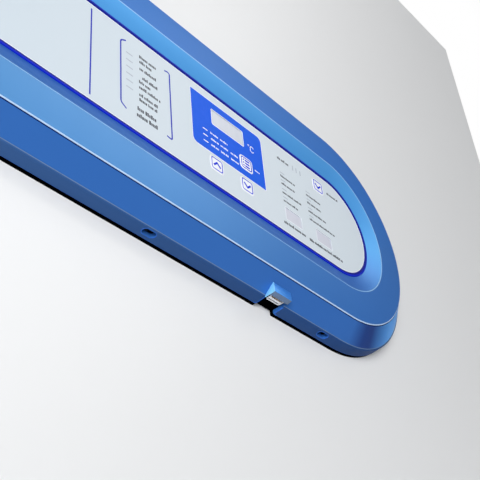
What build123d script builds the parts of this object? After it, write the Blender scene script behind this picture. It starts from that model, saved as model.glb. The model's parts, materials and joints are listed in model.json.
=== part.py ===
"""Upright ultra low temperature freezer with a bezelled control console on its door.

X runs to the right, Y to the back and Z up, in millimetres. The origin is on the
floor under the middle of the cabinet, and the door faces -Y.
"""
import os
from math import cos, radians, sin

from build123d import *

os.makedirs("parts", exist_ok=True)

# Overall envelope
WIDTH = 1226.0
CABINET_TOP = 1968.0
HEIGHT = 1980.0
FRONT_Y = -500.0
BACK_Y = 500.0
SHEET = 2.0
SHEET_FIT = 0.5
INSIDE_W = WIDTH - 2 * (SHEET + SHEET_FIT)
OVERCUT = 1.0

# Levels from the floor up
CHASSIS_Z = 115.0
CHASSIS_H = 40.0
DECK_Z = CHASSIS_Z + CHASSIS_H
BOX_FLOOR_Z = 440.0
CHAMBER_Z = 550.0
CHAMBER_H = 1300.0
CHAMBER_W = 966.0

# Depths from the front to the back
DOOR_FACE_Y = -440.0
DOOR_BACK_Y = -335.0
CABINET_Y = -323.0
CHAMBER_BACK_Y = 360.0
CABINET_BACK_Y = 470.0
MACHINE_Y = -385.0
FRAME_DEPTH = 12.0
LINER_FRONT_Y = CABINET_Y + FRAME_DEPTH
LINER_T = 1.5
COIL_GAP = 14.0

# Outer door
DOOR_Z0 = 452.0
DOOR_Z1 = 1964.0
DOOR_H = DOOR_Z1 - DOOR_Z0
DOOR_EDGE_R = 12.0
HINGE_X = 601.0
HINGE_Y = -350.0
HINGE_PIN_R = 5.0
BUSH_L = 30.0
RUN_FIT = 0.05

# Inner doors and shelves
TIERS = 4
TIER_GAP = 14.0
TIER_H = (CHAMBER_H - (TIERS + 1) * TIER_GAP) / TIERS
INNER_HINGE_X = 474.0
INNER_HINGE_Y = -318.0
INNER_FRONT_Y = -313.0
INNER_T = 30.0
INNER_PIN_R = 3.0

# Console, from the membrane's plane: radii from the centre line, heights towards the user
CONSOLE_Z = 1420.0
CONSOLE_HALF = 228.1
PANEL_R = 41.7
END_X = CONSOLE_HALF - PANEL_R
STAND_OFF = 20.8
MEMBRANE_Y = DOOR_FACE_Y - STAND_OFF
RING_R, RING_P = 45.16, 0.0
CREST_R, CREST_P = 59.14, 4.35
EDGE_R, EDGE_P = 85.44, 3.54
STEP_R, STEP_P = 99.5, -8.7
FLANGE_R, FLANGE_P = 101.66, -18.07
FLOOR_P, FLOOR_T = -2.0, 2.6


def save(piece, name):
    """Label a finished piece and write it as its own STEP file."""
    piece.part.label = name
    export_step(piece.part, f"parts/{name}.step")


def front(y):
    """Plane across the object at depth y, facing the user, with x right and y up."""
    return Plane.XZ.offset(-y)


def block(x0, x1, y0, y1, z0, z1, mode=Mode.ADD):
    """Box between two corners."""
    with Locations(((x0 + x1) / 2, (y0 + y1) / 2, (z0 + z1) / 2)):
        Box(x1 - x0, y1 - y0, z1 - z0, mode=mode)


def upright(x, y, z0, z1, radius, mode=Mode.ADD):
    """Vertical round bar or hole."""
    with Locations((x, y, (z0 + z1) / 2)):
        Cylinder(radius, z1 - z0, mode=mode)


def lying(x, z, y0, y1, radius, mode=Mode.ADD):
    """Round bar or hole that runs from front to back."""
    with Locations(Location((x, (y0 + y1) / 2, z), (90, 0, 0))):
        Cylinder(radius, y1 - y0, mode=mode)


# Cabinet shell: folded sheet sides and top, with a ledge over the machine compartment
HALF_W = WIDTH / 2
SHELL_R = 14.0
FLOOR_LEDGE = 60.0
with BuildPart() as cabinet_shell:
    with BuildSketch(Plane.YZ.offset(-HALF_W)):
        with BuildLine():
            Polyline((CABINET_Y, CABINET_TOP), (CABINET_BACK_Y, CABINET_TOP), (CABINET_BACK_Y, CHASSIS_Z),
                     (MACHINE_Y, CHASSIS_Z), (MACHINE_Y, BOX_FLOOR_Z), (CABINET_Y, BOX_FLOOR_Z), close=True)
        make_face()
    extrude(amount=WIDTH)
    fillet(cabinet_shell.edges().filter_by(Axis.Y).group_by(Axis.Z)[-1], SHELL_R)
    with BuildSketch(front(CABINET_Y - SHEET)):
        with Locations((0, (BOX_FLOOR_Z + CABINET_TOP) / 2)):
            RectangleRounded(WIDTH - 2 * SHEET, CABINET_TOP - BOX_FLOOR_Z - 2 * SHEET, SHELL_R - SHEET)
    extrude(amount=-(CABINET_BACK_Y - CABINET_Y + 2 * SHEET), mode=Mode.SUBTRACT)
    block(SHEET - HALF_W, HALF_W - SHEET, MACHINE_Y - OVERCUT, CABINET_BACK_Y + OVERCUT,
          CHASSIS_Z - OVERCUT, BOX_FLOOR_Z - SHEET, mode=Mode.SUBTRACT)
    block(SHEET - HALF_W, HALF_W - SHEET, CABINET_Y + FLOOR_LEDGE, CABINET_BACK_Y + OVERCUT,
          BOX_FLOOR_Z - SHEET - OVERCUT, BOX_FLOOR_Z + SHELL_R + SHEET, mode=Mode.SUBTRACT)
save(cabinet_shell, "cabinet_shell")

# Rear panel: flat sheet with stiffening ribs and louvres over the machine compartment
LOUVRE_W, LOUVRE_H, LOUVRE_PITCH, LOUVRE_ROWS = 150.0, 7.0, 20.0, 8
LOUVRE_Z = (DECK_Z + BOX_FLOOR_Z) / 2 + 20.0
RIB_W, RIB_L, RIB_T, RIB_PITCH = 10.0, 1280.0, 2.5, 260.0
REAR_BAYS = 4
with BuildPart() as cabinet_rear_panel:
    with BuildSketch(front(CABINET_BACK_Y)):
        with Locations((0, (CHASSIS_Z + CABINET_TOP) / 2)):
            RectangleRounded(INSIDE_W, CABINET_TOP - CHASSIS_Z - 2 * (SHEET + SHEET_FIT), SHELL_R + SHEET)
    extrude(amount=SHEET)
    with BuildSketch(front(CABINET_BACK_Y)):
        with Locations((0, LOUVRE_Z)):
            with GridLocations(2 * LOUVRE_W, LOUVRE_PITCH, REAR_BAYS, LOUVRE_ROWS):
                SlotOverall(LOUVRE_W, LOUVRE_H)
    extrude(amount=SHEET, mode=Mode.SUBTRACT)
    with BuildSketch(front(CABINET_BACK_Y)):
        with Locations((0, (BOX_FLOOR_Z + CABINET_TOP) / 2)):
            with GridLocations(RIB_PITCH, 1, REAR_BAYS, 1):
                SlotOverall(RIB_L, RIB_W, rotation=90)
    extrude(amount=-RIB_T)
save(cabinet_rear_panel, "cabinet_rear_panel")

# Chamber liner: five-sided welded box with rounded corners, open to the front
CHAMBER_MID_Z = CHAMBER_Z + CHAMBER_H / 2
CORNER_R = 20.0
with BuildPart() as inner_liner:
    with BuildSketch(front(CHAMBER_BACK_Y + LINER_T)):
        with Locations((0, CHAMBER_MID_Z)):
            RectangleRounded(CHAMBER_W + 2 * LINER_T, CHAMBER_H + 2 * LINER_T, CORNER_R + LINER_T)
    extrude(amount=CHAMBER_BACK_Y + LINER_T - LINER_FRONT_Y)
    with BuildSketch(front(CHAMBER_BACK_Y)):
        with Locations((0, CHAMBER_MID_Z)):
            RectangleRounded(CHAMBER_W, CHAMBER_H, CORNER_R)
    extrude(amount=CHAMBER_BACK_Y - LINER_FRONT_Y, mode=Mode.SUBTRACT)
save(inner_liner, "inner_liner")

# Foamed insulation between the shell and the liner, with a gap that holds the evaporator tube
FOAM_FRONT_Y = LINER_FRONT_Y + SHEET_FIT
FOAM_BACK_Y = CABINET_BACK_Y - SHEET - 2 * SHEET_FIT
with BuildPart() as cabinet_foam:
    with BuildSketch(front(FOAM_BACK_Y)):
        with Locations((0, (BOX_FLOOR_Z + SHEET + CABINET_TOP) / 2)):
            RectangleRounded(INSIDE_W, CABINET_TOP - BOX_FLOOR_Z - 3 * SHEET - 2 * SHEET_FIT, SHELL_R)
    extrude(amount=FOAM_BACK_Y - FOAM_FRONT_Y)
    with BuildSketch(front(CHAMBER_BACK_Y + COIL_GAP)):
        with Locations((0, CHAMBER_MID_Z)):
            RectangleRounded(CHAMBER_W + 2 * COIL_GAP, CHAMBER_H + 2 * COIL_GAP, CORNER_R + COIL_GAP)
    extrude(amount=CHAMBER_BACK_Y + COIL_GAP - FOAM_FRONT_Y, mode=Mode.SUBTRACT)
save(cabinet_foam, "cabinet_foam")

# Breaker frame: insulating plastic border that joins the liner's mouth to the shell,
# with bored hinge tabs on the right between the inner doors
TIER_PITCH = TIER_H + TIER_GAP
EAR = 7.0
TAB_T, TAB_D, TAB_ROOT = 5.0, 10.0, 3.0
FRAME_FIT = 0.2
REBATE_OUT, REBATE_IN, REBATE_T = 22.0, 16.0, 2.0
frame_border = SHEET + FRAME_FIT
with BuildPart() as breaker_frame:
    with BuildSketch(front(LINER_FRONT_Y)):
        with Locations((0, (BOX_FLOOR_Z + CABINET_TOP) / 2)):
            RectangleRounded(WIDTH - 2 * frame_border, CABINET_TOP - BOX_FLOOR_Z - 2 * frame_border,
                             SHELL_R - SHEET)
        with Locations((0, CHAMBER_MID_Z)):
            RectangleRounded(CHAMBER_W, CHAMBER_H, CORNER_R, mode=Mode.SUBTRACT)
    extrude(amount=FRAME_DEPTH)
    with BuildSketch(front(CABINET_Y)):
        with Locations((0, CHAMBER_MID_Z)):
            for grow, mode in ((REBATE_OUT, Mode.ADD), (REBATE_IN, Mode.SUBTRACT)):
                RectangleRounded(CHAMBER_W + 2 * grow, CHAMBER_H + 2 * grow, CORNER_R + grow, mode=mode)
    extrude(amount=-REBATE_T, mode=Mode.SUBTRACT)
    for k in range(TIERS + 1):
        z = CHAMBER_Z + TIER_GAP / 2 + TIER_PITCH * k
        tab_w = CHAMBER_W / 2 - INNER_HINGE_X + EAR + TAB_ROOT
        with BuildSketch(Plane.XY.offset(z - TAB_T / 2)):
            with Locations((CHAMBER_W / 2 + TAB_ROOT - tab_w / 2, INNER_HINGE_Y + 2)):
                Rectangle(tab_w, TAB_D)
            with Locations((INNER_HINGE_X, INNER_HINGE_Y)):
                Circle(INNER_PIN_R + RUN_FIT, mode=Mode.SUBTRACT)
        extrude(amount=TAB_T)
save(breaker_frame, "breaker_frame")

# Evaporator tube: one run of loops round the liner's back and sides
TUBE_R = 4.5
COIL_PITCH = 120.0
COIL_TURNS = 10
COIL_FRONT_Y = -230.0
COIL_OFF, COIL_LIFT = 6.0, 110.0
BEND_R = 9.0
coil_x = CHAMBER_W / 2 + LINER_T + COIL_OFF
coil_y = CHAMBER_BACK_Y + LINER_T + COIL_OFF
coil_z = CHAMBER_Z + COIL_LIFT
with BuildPart() as evaporator_coil:
    for turn in range(COIL_TURNS):
        z = coil_z + turn * COIL_PITCH
        with BuildLine() as loop:
            FilletPolyline((-coil_x, COIL_FRONT_Y, z), (-coil_x, coil_y, z), (coil_x, coil_y, z),
                           (coil_x, COIL_FRONT_Y, z), radius=BEND_R)
        with BuildSketch(Plane(origin=(-coil_x, COIL_FRONT_Y, z), z_dir=(0, 1, 0))):
            Circle(TUBE_R)
        sweep(path=loop.line)
save(evaporator_coil, "evaporator_coil")

# Shelf standards: slotted strips up both side walls, with clips under each shelf
STRIP_W, STRIP_T = 22.0, 4.0
STRIP_Y = (-200.0, 60.0, 310.0)
shelf_levels = [CHAMBER_Z + TIER_GAP / 2 + TIER_PITCH * k for k in range(1, TIERS)]
SHELF_T = 1.6
SHELF_RIM = 14.0
CLIP = 5.0
VENT_W, VENT_H = 70.0, 10.0
with BuildPart() as shelf_standards:
    for side in (-1, 1):
        wall_x = side * (CHAMBER_W / 2 - STRIP_T / 2)
        for y in STRIP_Y:
            with Locations((wall_x, y, CHAMBER_MID_Z)):
                Box(STRIP_T, STRIP_W, CHAMBER_H - 4 * CORNER_R)
            for level in shelf_levels:
                with Locations((side * (CHAMBER_W / 2 - STRIP_T - CLIP / 2), y, level - SHELF_RIM - CLIP / 2)):
                    Box(CLIP, STRIP_W, CLIP)
save(shelf_standards, "shelf_standards")

# Shelves: folded stainless trays with a rim turned down on every side and rows of vents
SHELF_FIT = 3.0
SHELF_W = CHAMBER_W - 2 * (STRIP_T + SHELF_FIT)
SHELF_Y0, SHELF_Y1 = -262.0, CHAMBER_BACK_Y - 8.0
for index, level in enumerate(shelf_levels, 1):
    with BuildPart() as shelf:
        block(-SHELF_W / 2, SHELF_W / 2, SHELF_Y0, SHELF_Y1, level - SHELF_RIM, level)
        block(SHELF_T - SHELF_W / 2, SHELF_W / 2 - SHELF_T, SHELF_Y0 + SHELF_T, SHELF_Y1 - SHELF_T,
              level - SHELF_RIM - OVERCUT, level - SHELF_T, mode=Mode.SUBTRACT)
        with BuildSketch(Plane.XY.offset(level)):
            with Locations((0, (SHELF_Y0 + SHELF_Y1) / 2)):
                with GridLocations(150, 120, 6, 4):
                    SlotOverall(VENT_W, VENT_H)
        extrude(amount=-SHELF_T, mode=Mode.SUBTRACT)
    save(shelf, f"shelf_{index}")

# Inner doors: insulated panels with rounded edges, hinge ears, pins and a finger pull
INNER_HALF = 480.0
INNER_CORNER_R, INNER_EDGE_R, FIELD_R = 6.0, 4.0, 14.0
EAR_T, EAR_ROOT, EAR_TIP = 6.0, 8.0, 4.0
PULL_W, PULL_H, PULL_T, PULL_R, PULL_IN = 14.0, 70.0, 8.0, 5.0, 30.0
FIELD_X, FIELD_Z, FIELD_T = 60.0, 45.0, 2.0
PIN_REACH = 6.0
ear_x0, ear_x1, ear_y = INNER_HINGE_X - EAR_T, INNER_HINGE_X + EAR_T, INNER_FRONT_Y + EAR_ROOT
ear_outline = [(ear_x0, ear_y), (ear_x0, INNER_HINGE_Y), (INNER_HINGE_X, INNER_HINGE_Y - EAR_TIP),
               (ear_x1, INNER_HINGE_Y), (ear_x1, ear_y)]
tier_floors = [CHAMBER_Z + TIER_GAP + TIER_PITCH * k for k in range(TIERS)]
for index, z0 in enumerate(tier_floors, 1):
    z1 = z0 + TIER_H
    with BuildPart() as inner_door:
        with BuildSketch(front(INNER_FRONT_Y)):
            with Locations((0, (z0 + z1) / 2)):
                RectangleRounded(2 * INNER_HALF, TIER_H, INNER_CORNER_R)
        extrude(amount=-INNER_T)
        fillet(inner_door.faces().sort_by(Axis.Y)[0].edges(), INNER_EDGE_R)
        with BuildSketch(front(INNER_FRONT_Y)):
            with Locations((0, (z0 + z1) / 2)):
                RectangleRounded(2 * (INNER_HALF - FIELD_X), TIER_H - 2 * FIELD_Z, FIELD_R)
        extrude(amount=-FIELD_T, mode=Mode.SUBTRACT)
        for z in (z0, z1 - EAR_T):
            with BuildSketch(Plane.XY.offset(z)):
                with BuildLine():
                    Polyline(*ear_outline, close=True)
                make_face()
            extrude(amount=EAR_T)
        upright(INNER_HINGE_X, INNER_HINGE_Y, z0 - PIN_REACH, z0, INNER_PIN_R)
        upright(INNER_HINGE_X, INNER_HINGE_Y, z1, z1 + PIN_REACH, INNER_PIN_R)
        with BuildSketch(front(INNER_FRONT_Y)):
            with Locations((PULL_IN - INNER_HALF, (z0 + z1) / 2)):
                RectangleRounded(PULL_W, PULL_H, PULL_R)
        extrude(amount=PULL_T)
    save(inner_door, f"inner_door_{index}")

# Base chassis: welded ring of folded channel, open below, with two cross members
CHANNEL = 50.0
CHASSIS_T = 3.0
CROSS_W = 40.0
base_y0, base_y1 = MACHINE_Y + SHEET, CABINET_BACK_Y - SHEET - 2 * SHEET_FIT
with BuildPart() as base_chassis:
    block(-INSIDE_W / 2, INSIDE_W / 2, base_y0, base_y1, CHASSIS_Z, DECK_Z)
    block(CHANNEL - INSIDE_W / 2, INSIDE_W / 2 - CHANNEL, base_y0 + CHANNEL, base_y1 - CHANNEL,
          CHASSIS_Z - OVERCUT, DECK_Z + OVERCUT, mode=Mode.SUBTRACT)
    for x in (-INSIDE_W / 6, INSIDE_W / 6):
        x0, x1 = x - CROSS_W / 2, x + CROSS_W / 2
        block(x0, x1, base_y0 + CHANNEL - OVERCUT, base_y1 - CHANNEL + OVERCUT, CHASSIS_Z, DECK_Z)
        block(x0 + CHASSIS_T, x1 - CHASSIS_T, base_y0 + CHANNEL, base_y1 - CHANNEL, CHASSIS_Z - OVERCUT,
              DECK_Z - CHASSIS_T, mode=Mode.SUBTRACT)
    with BuildSketch(Plane.XY.offset(CHASSIS_Z)):
        with Locations((0, (base_y0 + base_y1) / 2)):
            Rectangle(INSIDE_W - 2 * CHASSIS_T, base_y1 - base_y0 - 2 * CHASSIS_T)
            Rectangle(INSIDE_W - 2 * CHANNEL + 2 * CHASSIS_T, base_y1 - base_y0 - 2 * CHANNEL + 2 * CHASSIS_T,
                      mode=Mode.SUBTRACT)
    extrude(amount=CHASSIS_H - CHASSIS_T, mode=Mode.SUBTRACT)
save(base_chassis, "base_chassis")

# Machine deck: slotted tray that carries the compressors on its rubber grommets
DECK_TOP = DECK_Z + CHASSIS_T
DECK_SLOT_L, DECK_SLOT_W = 220.0, 24.0
GROMMET_R, GROMMET_H, GROMMET_TAPER = 15.0, 14.0, 12.0
FOOT_X, FOOT_Y = 95.0, 75.0
compressor_sites = {"compressor_first_stage": (-420.0, 280.0), "compressor_second_stage": (-110.0, 280.0)}
with BuildPart() as machine_deck:
    block(-INSIDE_W / 2, INSIDE_W / 2, base_y0, base_y1, DECK_Z, DECK_Z + CHASSIS_T)
    with BuildSketch(Plane.XY.offset(DECK_Z)):
        with GridLocations(320, 500, 3, 1):
            SlotOverall(DECK_SLOT_L, DECK_SLOT_W)
    extrude(amount=CHASSIS_T, mode=Mode.SUBTRACT)
    for x, y in compressor_sites.values():
        with BuildSketch(Plane.XY.offset(DECK_TOP)):
            with Locations((x, y)):
                with GridLocations(2 * FOOT_X, 2 * FOOT_Y, 2, 2):
                    Circle(GROMMET_R)
        extrude(amount=GROMMET_H, taper=GROMMET_TAPER)
save(machine_deck, "machine_deck")

# Compressors: domed hermetic shells with a weld flange, feet, terminal box and stubs
DOME_RX, DOME_RY, DOME_H, DOME_ROUND = 112.0, 92.0, 210.0, 60.0
WELD_AT, WELD_OUT, WELD_H = 0.52, 5.0, 6.0
SOLE_T, SOLE_MARGIN, SOLE_BOLT_R = 3.0, 17.0, 6.0
TERMINAL_X0, TERMINAL_X1, TERMINAL_HALF, TERMINAL_Z0, TERMINAL_Z1 = -14.0, 34.0, 34.0, 70.0, 150.0
STUB_R, STUB_L, STUB_Z = 9.0, 60.0, 60.0
for name, (x, y) in compressor_sites.items():
    base = DECK_TOP + GROMMET_H
    with BuildPart() as compressor:
        with BuildSketch(Plane.XY.offset(base)):
            with Locations((x, y)):
                RectangleRounded(2 * (FOOT_X + SOLE_MARGIN), 2 * (FOOT_Y + SOLE_MARGIN), SOLE_MARGIN - 1)
                with GridLocations(2 * FOOT_X, 2 * FOOT_Y, 2, 2):
                    Circle(SOLE_BOLT_R, mode=Mode.SUBTRACT)
        extrude(amount=SOLE_T)
        with BuildSketch(Plane.XY.offset(base + SOLE_T)):
            with Locations((x, y)):
                Ellipse(DOME_RX, DOME_RY)
        extrude(amount=DOME_H)
        fillet(compressor.edges().sort_by(Axis.Z)[-1], DOME_ROUND)
        with BuildSketch(Plane.XY.offset(base + DOME_H * WELD_AT)):
            with Locations((x, y)):
                Ellipse(DOME_RX + WELD_OUT, DOME_RY + WELD_OUT)
        extrude(amount=WELD_H)
        block(x + DOME_RX + TERMINAL_X0, x + DOME_RX + TERMINAL_X1, y - TERMINAL_HALF, y + TERMINAL_HALF,
              base + TERMINAL_Z0, base + TERMINAL_Z1)
        lying(x, base + STUB_Z, y - DOME_RY - 24, y - DOME_RY - 24 + STUB_L, STUB_R)
    save(compressor, name)

# Condenser: fin pack between end plates, with return bends on both sides
COND_X0, COND_X1 = -560.0, -40.0
COND_Y0, COND_Y1 = -330.0, -270.0
COND_Z0, COND_Z1 = DECK_TOP + 4, 420.0
COND_Y = (COND_Y0 + COND_Y1) / 2
FINS, FIN_HALF_T = 40, 0.6
BENDS, BEND_Z, BEND_PITCH, BEND_HALF, BEND_TUBE_R = 4, 40.0, 60.0, 12.0, 5.0
with BuildPart() as condenser_coil:
    for k in range(FINS):
        x = COND_X0 + k * (COND_X1 - COND_X0) / (FINS - 1)
        block(x - FIN_HALF_T, x + FIN_HALF_T, COND_Y0, COND_Y1, COND_Z0, COND_Z1)
    for z in (COND_Z0, COND_Z1 - SHEET):
        block(COND_X0 - FIN_HALF_T, COND_X1 + FIN_HALF_T, COND_Y0, COND_Y1, z, z + SHEET)
    for x, way in ((COND_X0, -1), (COND_X1, 1)):
        for k in range(BENDS):
            z = COND_Z0 + BEND_Z + k * BEND_PITCH
            with BuildSketch(Plane(origin=(x, COND_Y, z - BEND_HALF), z_dir=(way, 0, 0))):
                Circle(BEND_TUBE_R)
            revolve(axis=Axis((x, COND_Y, z), (0, 1, 0)), revolution_arc=180 * way)
save(condenser_coil, "condenser_coil")

# Fan shroud behind the condenser, with a bell mouth and a motor spider
FAN_X, FAN_Z = -300.0, 290.0
FAN_R = 118.0
BELL_T, BELL_GAP, BELL_Y0, BELL_Y1 = 3.0, 3.0, -20.0, 12.0
ARM_T, ARM_W, ARM_Y = 5.0, 16.0, 9.0
MOTOR_R, MOTOR_Y0, MOTOR_Y1 = 34.0, 2.0, 60.0
SPINDLE_R = 4.0
SPINDLE_L = 30.0
SHROUD_Y0, SHROUD_Y1 = -268.0, -190.0
with BuildPart() as fan_shroud:
    block(COND_X0, COND_X1, SHROUD_Y0, SHROUD_Y1, COND_Z0, COND_Z1)
    block(COND_X0 + SHEET, COND_X1 - SHEET, SHROUD_Y0 - OVERCUT, SHROUD_Y1 - SHEET, COND_Z0 + SHEET,
          COND_Z1 - SHEET, mode=Mode.SUBTRACT)
    lying(FAN_X, FAN_Z, SHROUD_Y1 + BELL_Y0, SHROUD_Y1 + BELL_Y1, FAN_R + BELL_GAP + BELL_T)
    lying(FAN_X, FAN_Z, SHROUD_Y1 + BELL_Y0 - OVERCUT, SHROUD_Y1 + BELL_Y1 + OVERCUT, FAN_R + BELL_GAP,
          mode=Mode.SUBTRACT)
    for angle in (45, 135):
        with Locations(Location((FAN_X, SHROUD_Y1 + ARM_Y, FAN_Z), (0, angle, 0))):
            Box(2 * (FAN_R + BELL_GAP + 1), ARM_T, ARM_W)
    lying(FAN_X, FAN_Z, SHROUD_Y1 + MOTOR_Y0, SHROUD_Y1 + MOTOR_Y1, MOTOR_R)
    lying(FAN_X, FAN_Z, SHROUD_Y1 - SPINDLE_L, SHROUD_Y1 + MOTOR_Y0 + OVERCUT, SPINDLE_R)
save(fan_shroud, "fan_shroud")

# Condenser fan: five pitched blades on a hub, on the motor's spindle
BLADES = 5
BLADE_PITCH = 28.0
HUB_R, HUB_Y0, HUB_Y1 = 30.0, -34.0, -2.0
with BuildPart() as condenser_fan:
    lying(FAN_X, FAN_Z, SHROUD_Y1 + HUB_Y0, SHROUD_Y1 + HUB_Y1, HUB_R)
    for k in range(BLADES):
        turn, pitch = radians(360 / BLADES * k), radians(BLADE_PITCH)
        blade_normal = (-sin(turn) * sin(pitch), -cos(pitch), cos(turn) * sin(pitch))
        blade_plane = Plane(origin=(FAN_X, SHROUD_Y1 + (HUB_Y0 + HUB_Y1) / 2, FAN_Z),
                            x_dir=(cos(turn), 0, sin(turn)), z_dir=blade_normal)
        with BuildSketch(blade_plane):
            with BuildLine():
                Polyline((24, -9), (FAN_R - 14, -14), (FAN_R - 3, 0), (FAN_R - 14, 14), (24, 9), close=True)
            make_face()
        extrude(amount=1, both=True)
    lying(FAN_X, FAN_Z, SHROUD_Y1 - SPINDLE_L - OVERCUT, SHROUD_Y1, SPINDLE_R + RUN_FIT, mode=Mode.SUBTRACT)
save(condenser_fan, "condenser_fan")

# Cascade heat exchanger in its foam jacket
CASCADE_X0, CASCADE_X1, CASCADE_Y0, CASCADE_Y1, CASCADE_TOP = 60.0, 330.0, 150.0, 440.0, 430.0
JACKET_R = 24.0
PORT_R, PORT_L, PORT_IN = 8.0, 6.0, 60.0
with BuildPart() as cascade_heat_exchanger:
    block(CASCADE_X0, CASCADE_X1, CASCADE_Y0, CASCADE_Y1, DECK_TOP, CASCADE_TOP)
    fillet(cascade_heat_exchanger.edges().filter_by(Axis.Z), JACKET_R)
    for x in (CASCADE_X0 + PORT_IN, CASCADE_X1 - PORT_IN):
        upright(x, CASCADE_Y0 + PORT_IN, CASCADE_TOP, CASCADE_TOP + PORT_L, PORT_R)
save(cascade_heat_exchanger, "cascade_heat_exchanger")

# Filter driers: spun cylinders with necked ends
DRIER_XS, DRIER_Y = (390.0, 450.0), 300.0
drier_section = [(0, 0), (5, 0), (5, 18), (22, 38), (22, 150), (5, 170), (5, 190), (0, 190)]
with BuildPart() as filter_driers:
    for x in DRIER_XS:
        with BuildSketch(front(DRIER_Y)):
            with BuildLine():
                Polyline(*[(x + r, DECK_TOP + z) for r, z in drier_section], close=True)
            make_face()
        revolve(axis=Axis((x, DRIER_Y, 0), (0, 0, 1)))
save(filter_driers, "filter_driers")

# Electrical box with a folded lid, and the standby battery beside it
BOX_X0, BOX_X1, BOX_Y0, BOX_Y1, BOX_TOP = 330.0, 590.0, -300.0, -60.0, 410.0
LID_X_IN, LID_Z_IN = 6.0, 10.0
LID_SCREW_R, LID_SCREW_X, LID_SCREW_Z = 5.0, 220.0, 200.0
with BuildPart() as electrical_box:
    block(BOX_X0, BOX_X1, BOX_Y0, BOX_Y1, DECK_TOP, BOX_TOP)
    block(BOX_X0 + SHEET, BOX_X1 - SHEET, BOX_Y0 + SHEET, BOX_Y1 - SHEET, DECK_TOP + SHEET, BOX_TOP - SHEET,
          mode=Mode.SUBTRACT)
    block(BOX_X0 + LID_X_IN, BOX_X1 - LID_X_IN, BOX_Y0 - SHEET, BOX_Y0, DECK_TOP + LID_Z_IN, BOX_TOP - LID_Z_IN)
    with BuildSketch(front(BOX_Y0 - SHEET)):
        with Locations(((BOX_X0 + BOX_X1) / 2, (DECK_TOP + BOX_TOP) / 2)):
            with GridLocations(LID_SCREW_X, LID_SCREW_Z, 2, 2):
                Circle(LID_SCREW_R)
    extrude(amount=SHEET)
save(electrical_box, "electrical_box")
BATTERY_X0, BATTERY_W, BATTERY_D, BATTERY_H = 140.0, 151.0, 98.0, 94.0
TAG_IN, TAG_W, TAG_H, TAG_Y = 25.0, 12.0, 8.0, 10.0
with BuildPart() as backup_battery:
    block(BATTERY_X0, BATTERY_X0 + BATTERY_W, BOX_Y0, BOX_Y0 + BATTERY_D, DECK_TOP, DECK_TOP + BATTERY_H)
    for x in (BATTERY_X0 + TAG_IN, BATTERY_X0 + BATTERY_W - TAG_IN):
        block(x - TAG_W / 2, x + TAG_W / 2, BOX_Y0 + TAG_Y, BOX_Y0 + TAG_Y + TAG_W / 2, DECK_TOP + BATTERY_H,
              DECK_TOP + BATTERY_H + TAG_H)
save(backup_battery, "backup_battery")

# Mains inlet and rocker switch on the rear panel, low on the left seen from the front
INLET_X, INLET_Z = -520.0, 210.0
INLET_FLANGE, INLET_BODY, INLET_MOUTH = (24.0, 18.0, 4.0), (17.0, 13.0, 18.0), (13.0, 9.0)
INLET_FLOOR = 6.0
BLADE_X, BLADE_T, BLADE_W, BLADE_L = 6.0, 2.0, 6.0, 10.0
ROCKER_X = -440.0
ROCKER_Y = CABINET_BACK_Y + 6
BEZEL_X, BEZEL_Z, BEZEL_T, BEZEL_WALL = 18.0, 24.0, 8.0, 6.0
PIVOT_PIN_R, PIVOT_PIN_L = 1.5, 27.0
ROCKER_W = 22.0
rocker_side = [(-3, -3), (-3, 3), (1, 16), (4, 16), (2, 0), (4, -16), (1, -16)]
rocker_pivot = Location((ROCKER_X, ROCKER_Y - 1, INLET_Z), (0, 90, 0))
with BuildPart() as power_inlet:
    for half_w, half_h, depth in (INLET_FLANGE, INLET_BODY):
        block(INLET_X - half_w, INLET_X + half_w, CABINET_BACK_Y, CABINET_BACK_Y + depth, INLET_Z - half_h,
              INLET_Z + half_h)
    block(INLET_X - INLET_MOUTH[0], INLET_X + INLET_MOUTH[0], CABINET_BACK_Y + INLET_FLOOR,
          CABINET_BACK_Y + INLET_BODY[2] + OVERCUT, INLET_Z - INLET_MOUTH[1], INLET_Z + INLET_MOUTH[1],
          mode=Mode.SUBTRACT)
    for x in (INLET_X - BLADE_X, INLET_X, INLET_X + BLADE_X):
        block(x - BLADE_T / 2, x + BLADE_T / 2, CABINET_BACK_Y + INLET_FLOOR - OVERCUT,
              CABINET_BACK_Y + INLET_FLOOR + BLADE_L, INLET_Z - BLADE_W / 2, INLET_Z + BLADE_W / 2)
    block(ROCKER_X - BEZEL_X, ROCKER_X + BEZEL_X, CABINET_BACK_Y, CABINET_BACK_Y + BEZEL_T, INLET_Z - BEZEL_Z,
          INLET_Z + BEZEL_Z)
    block(ROCKER_X - BEZEL_X + BEZEL_WALL, ROCKER_X + BEZEL_X - BEZEL_WALL, CABINET_BACK_Y + 1,
          CABINET_BACK_Y + BEZEL_T + OVERCUT, INLET_Z - BEZEL_Z + BEZEL_WALL, INLET_Z + BEZEL_Z - BEZEL_WALL,
          mode=Mode.SUBTRACT)
    with Locations(rocker_pivot):
        Cylinder(PIVOT_PIN_R + RUN_FIT, PIVOT_PIN_L + 1, mode=Mode.SUBTRACT)
save(power_inlet, "power_inlet")
with BuildPart() as power_rocker:
    with BuildSketch(Plane.YZ.offset(ROCKER_X - ROCKER_W / 2)):
        with BuildLine():
            Polyline(*[(ROCKER_Y + y, INLET_Z + z) for y, z in rocker_side], close=True)
        make_face()
    extrude(amount=ROCKER_W)
    with Locations(rocker_pivot):
        Cylinder(PIVOT_PIN_R, PIVOT_PIN_L)
save(power_rocker, "power_rocker")

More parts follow.
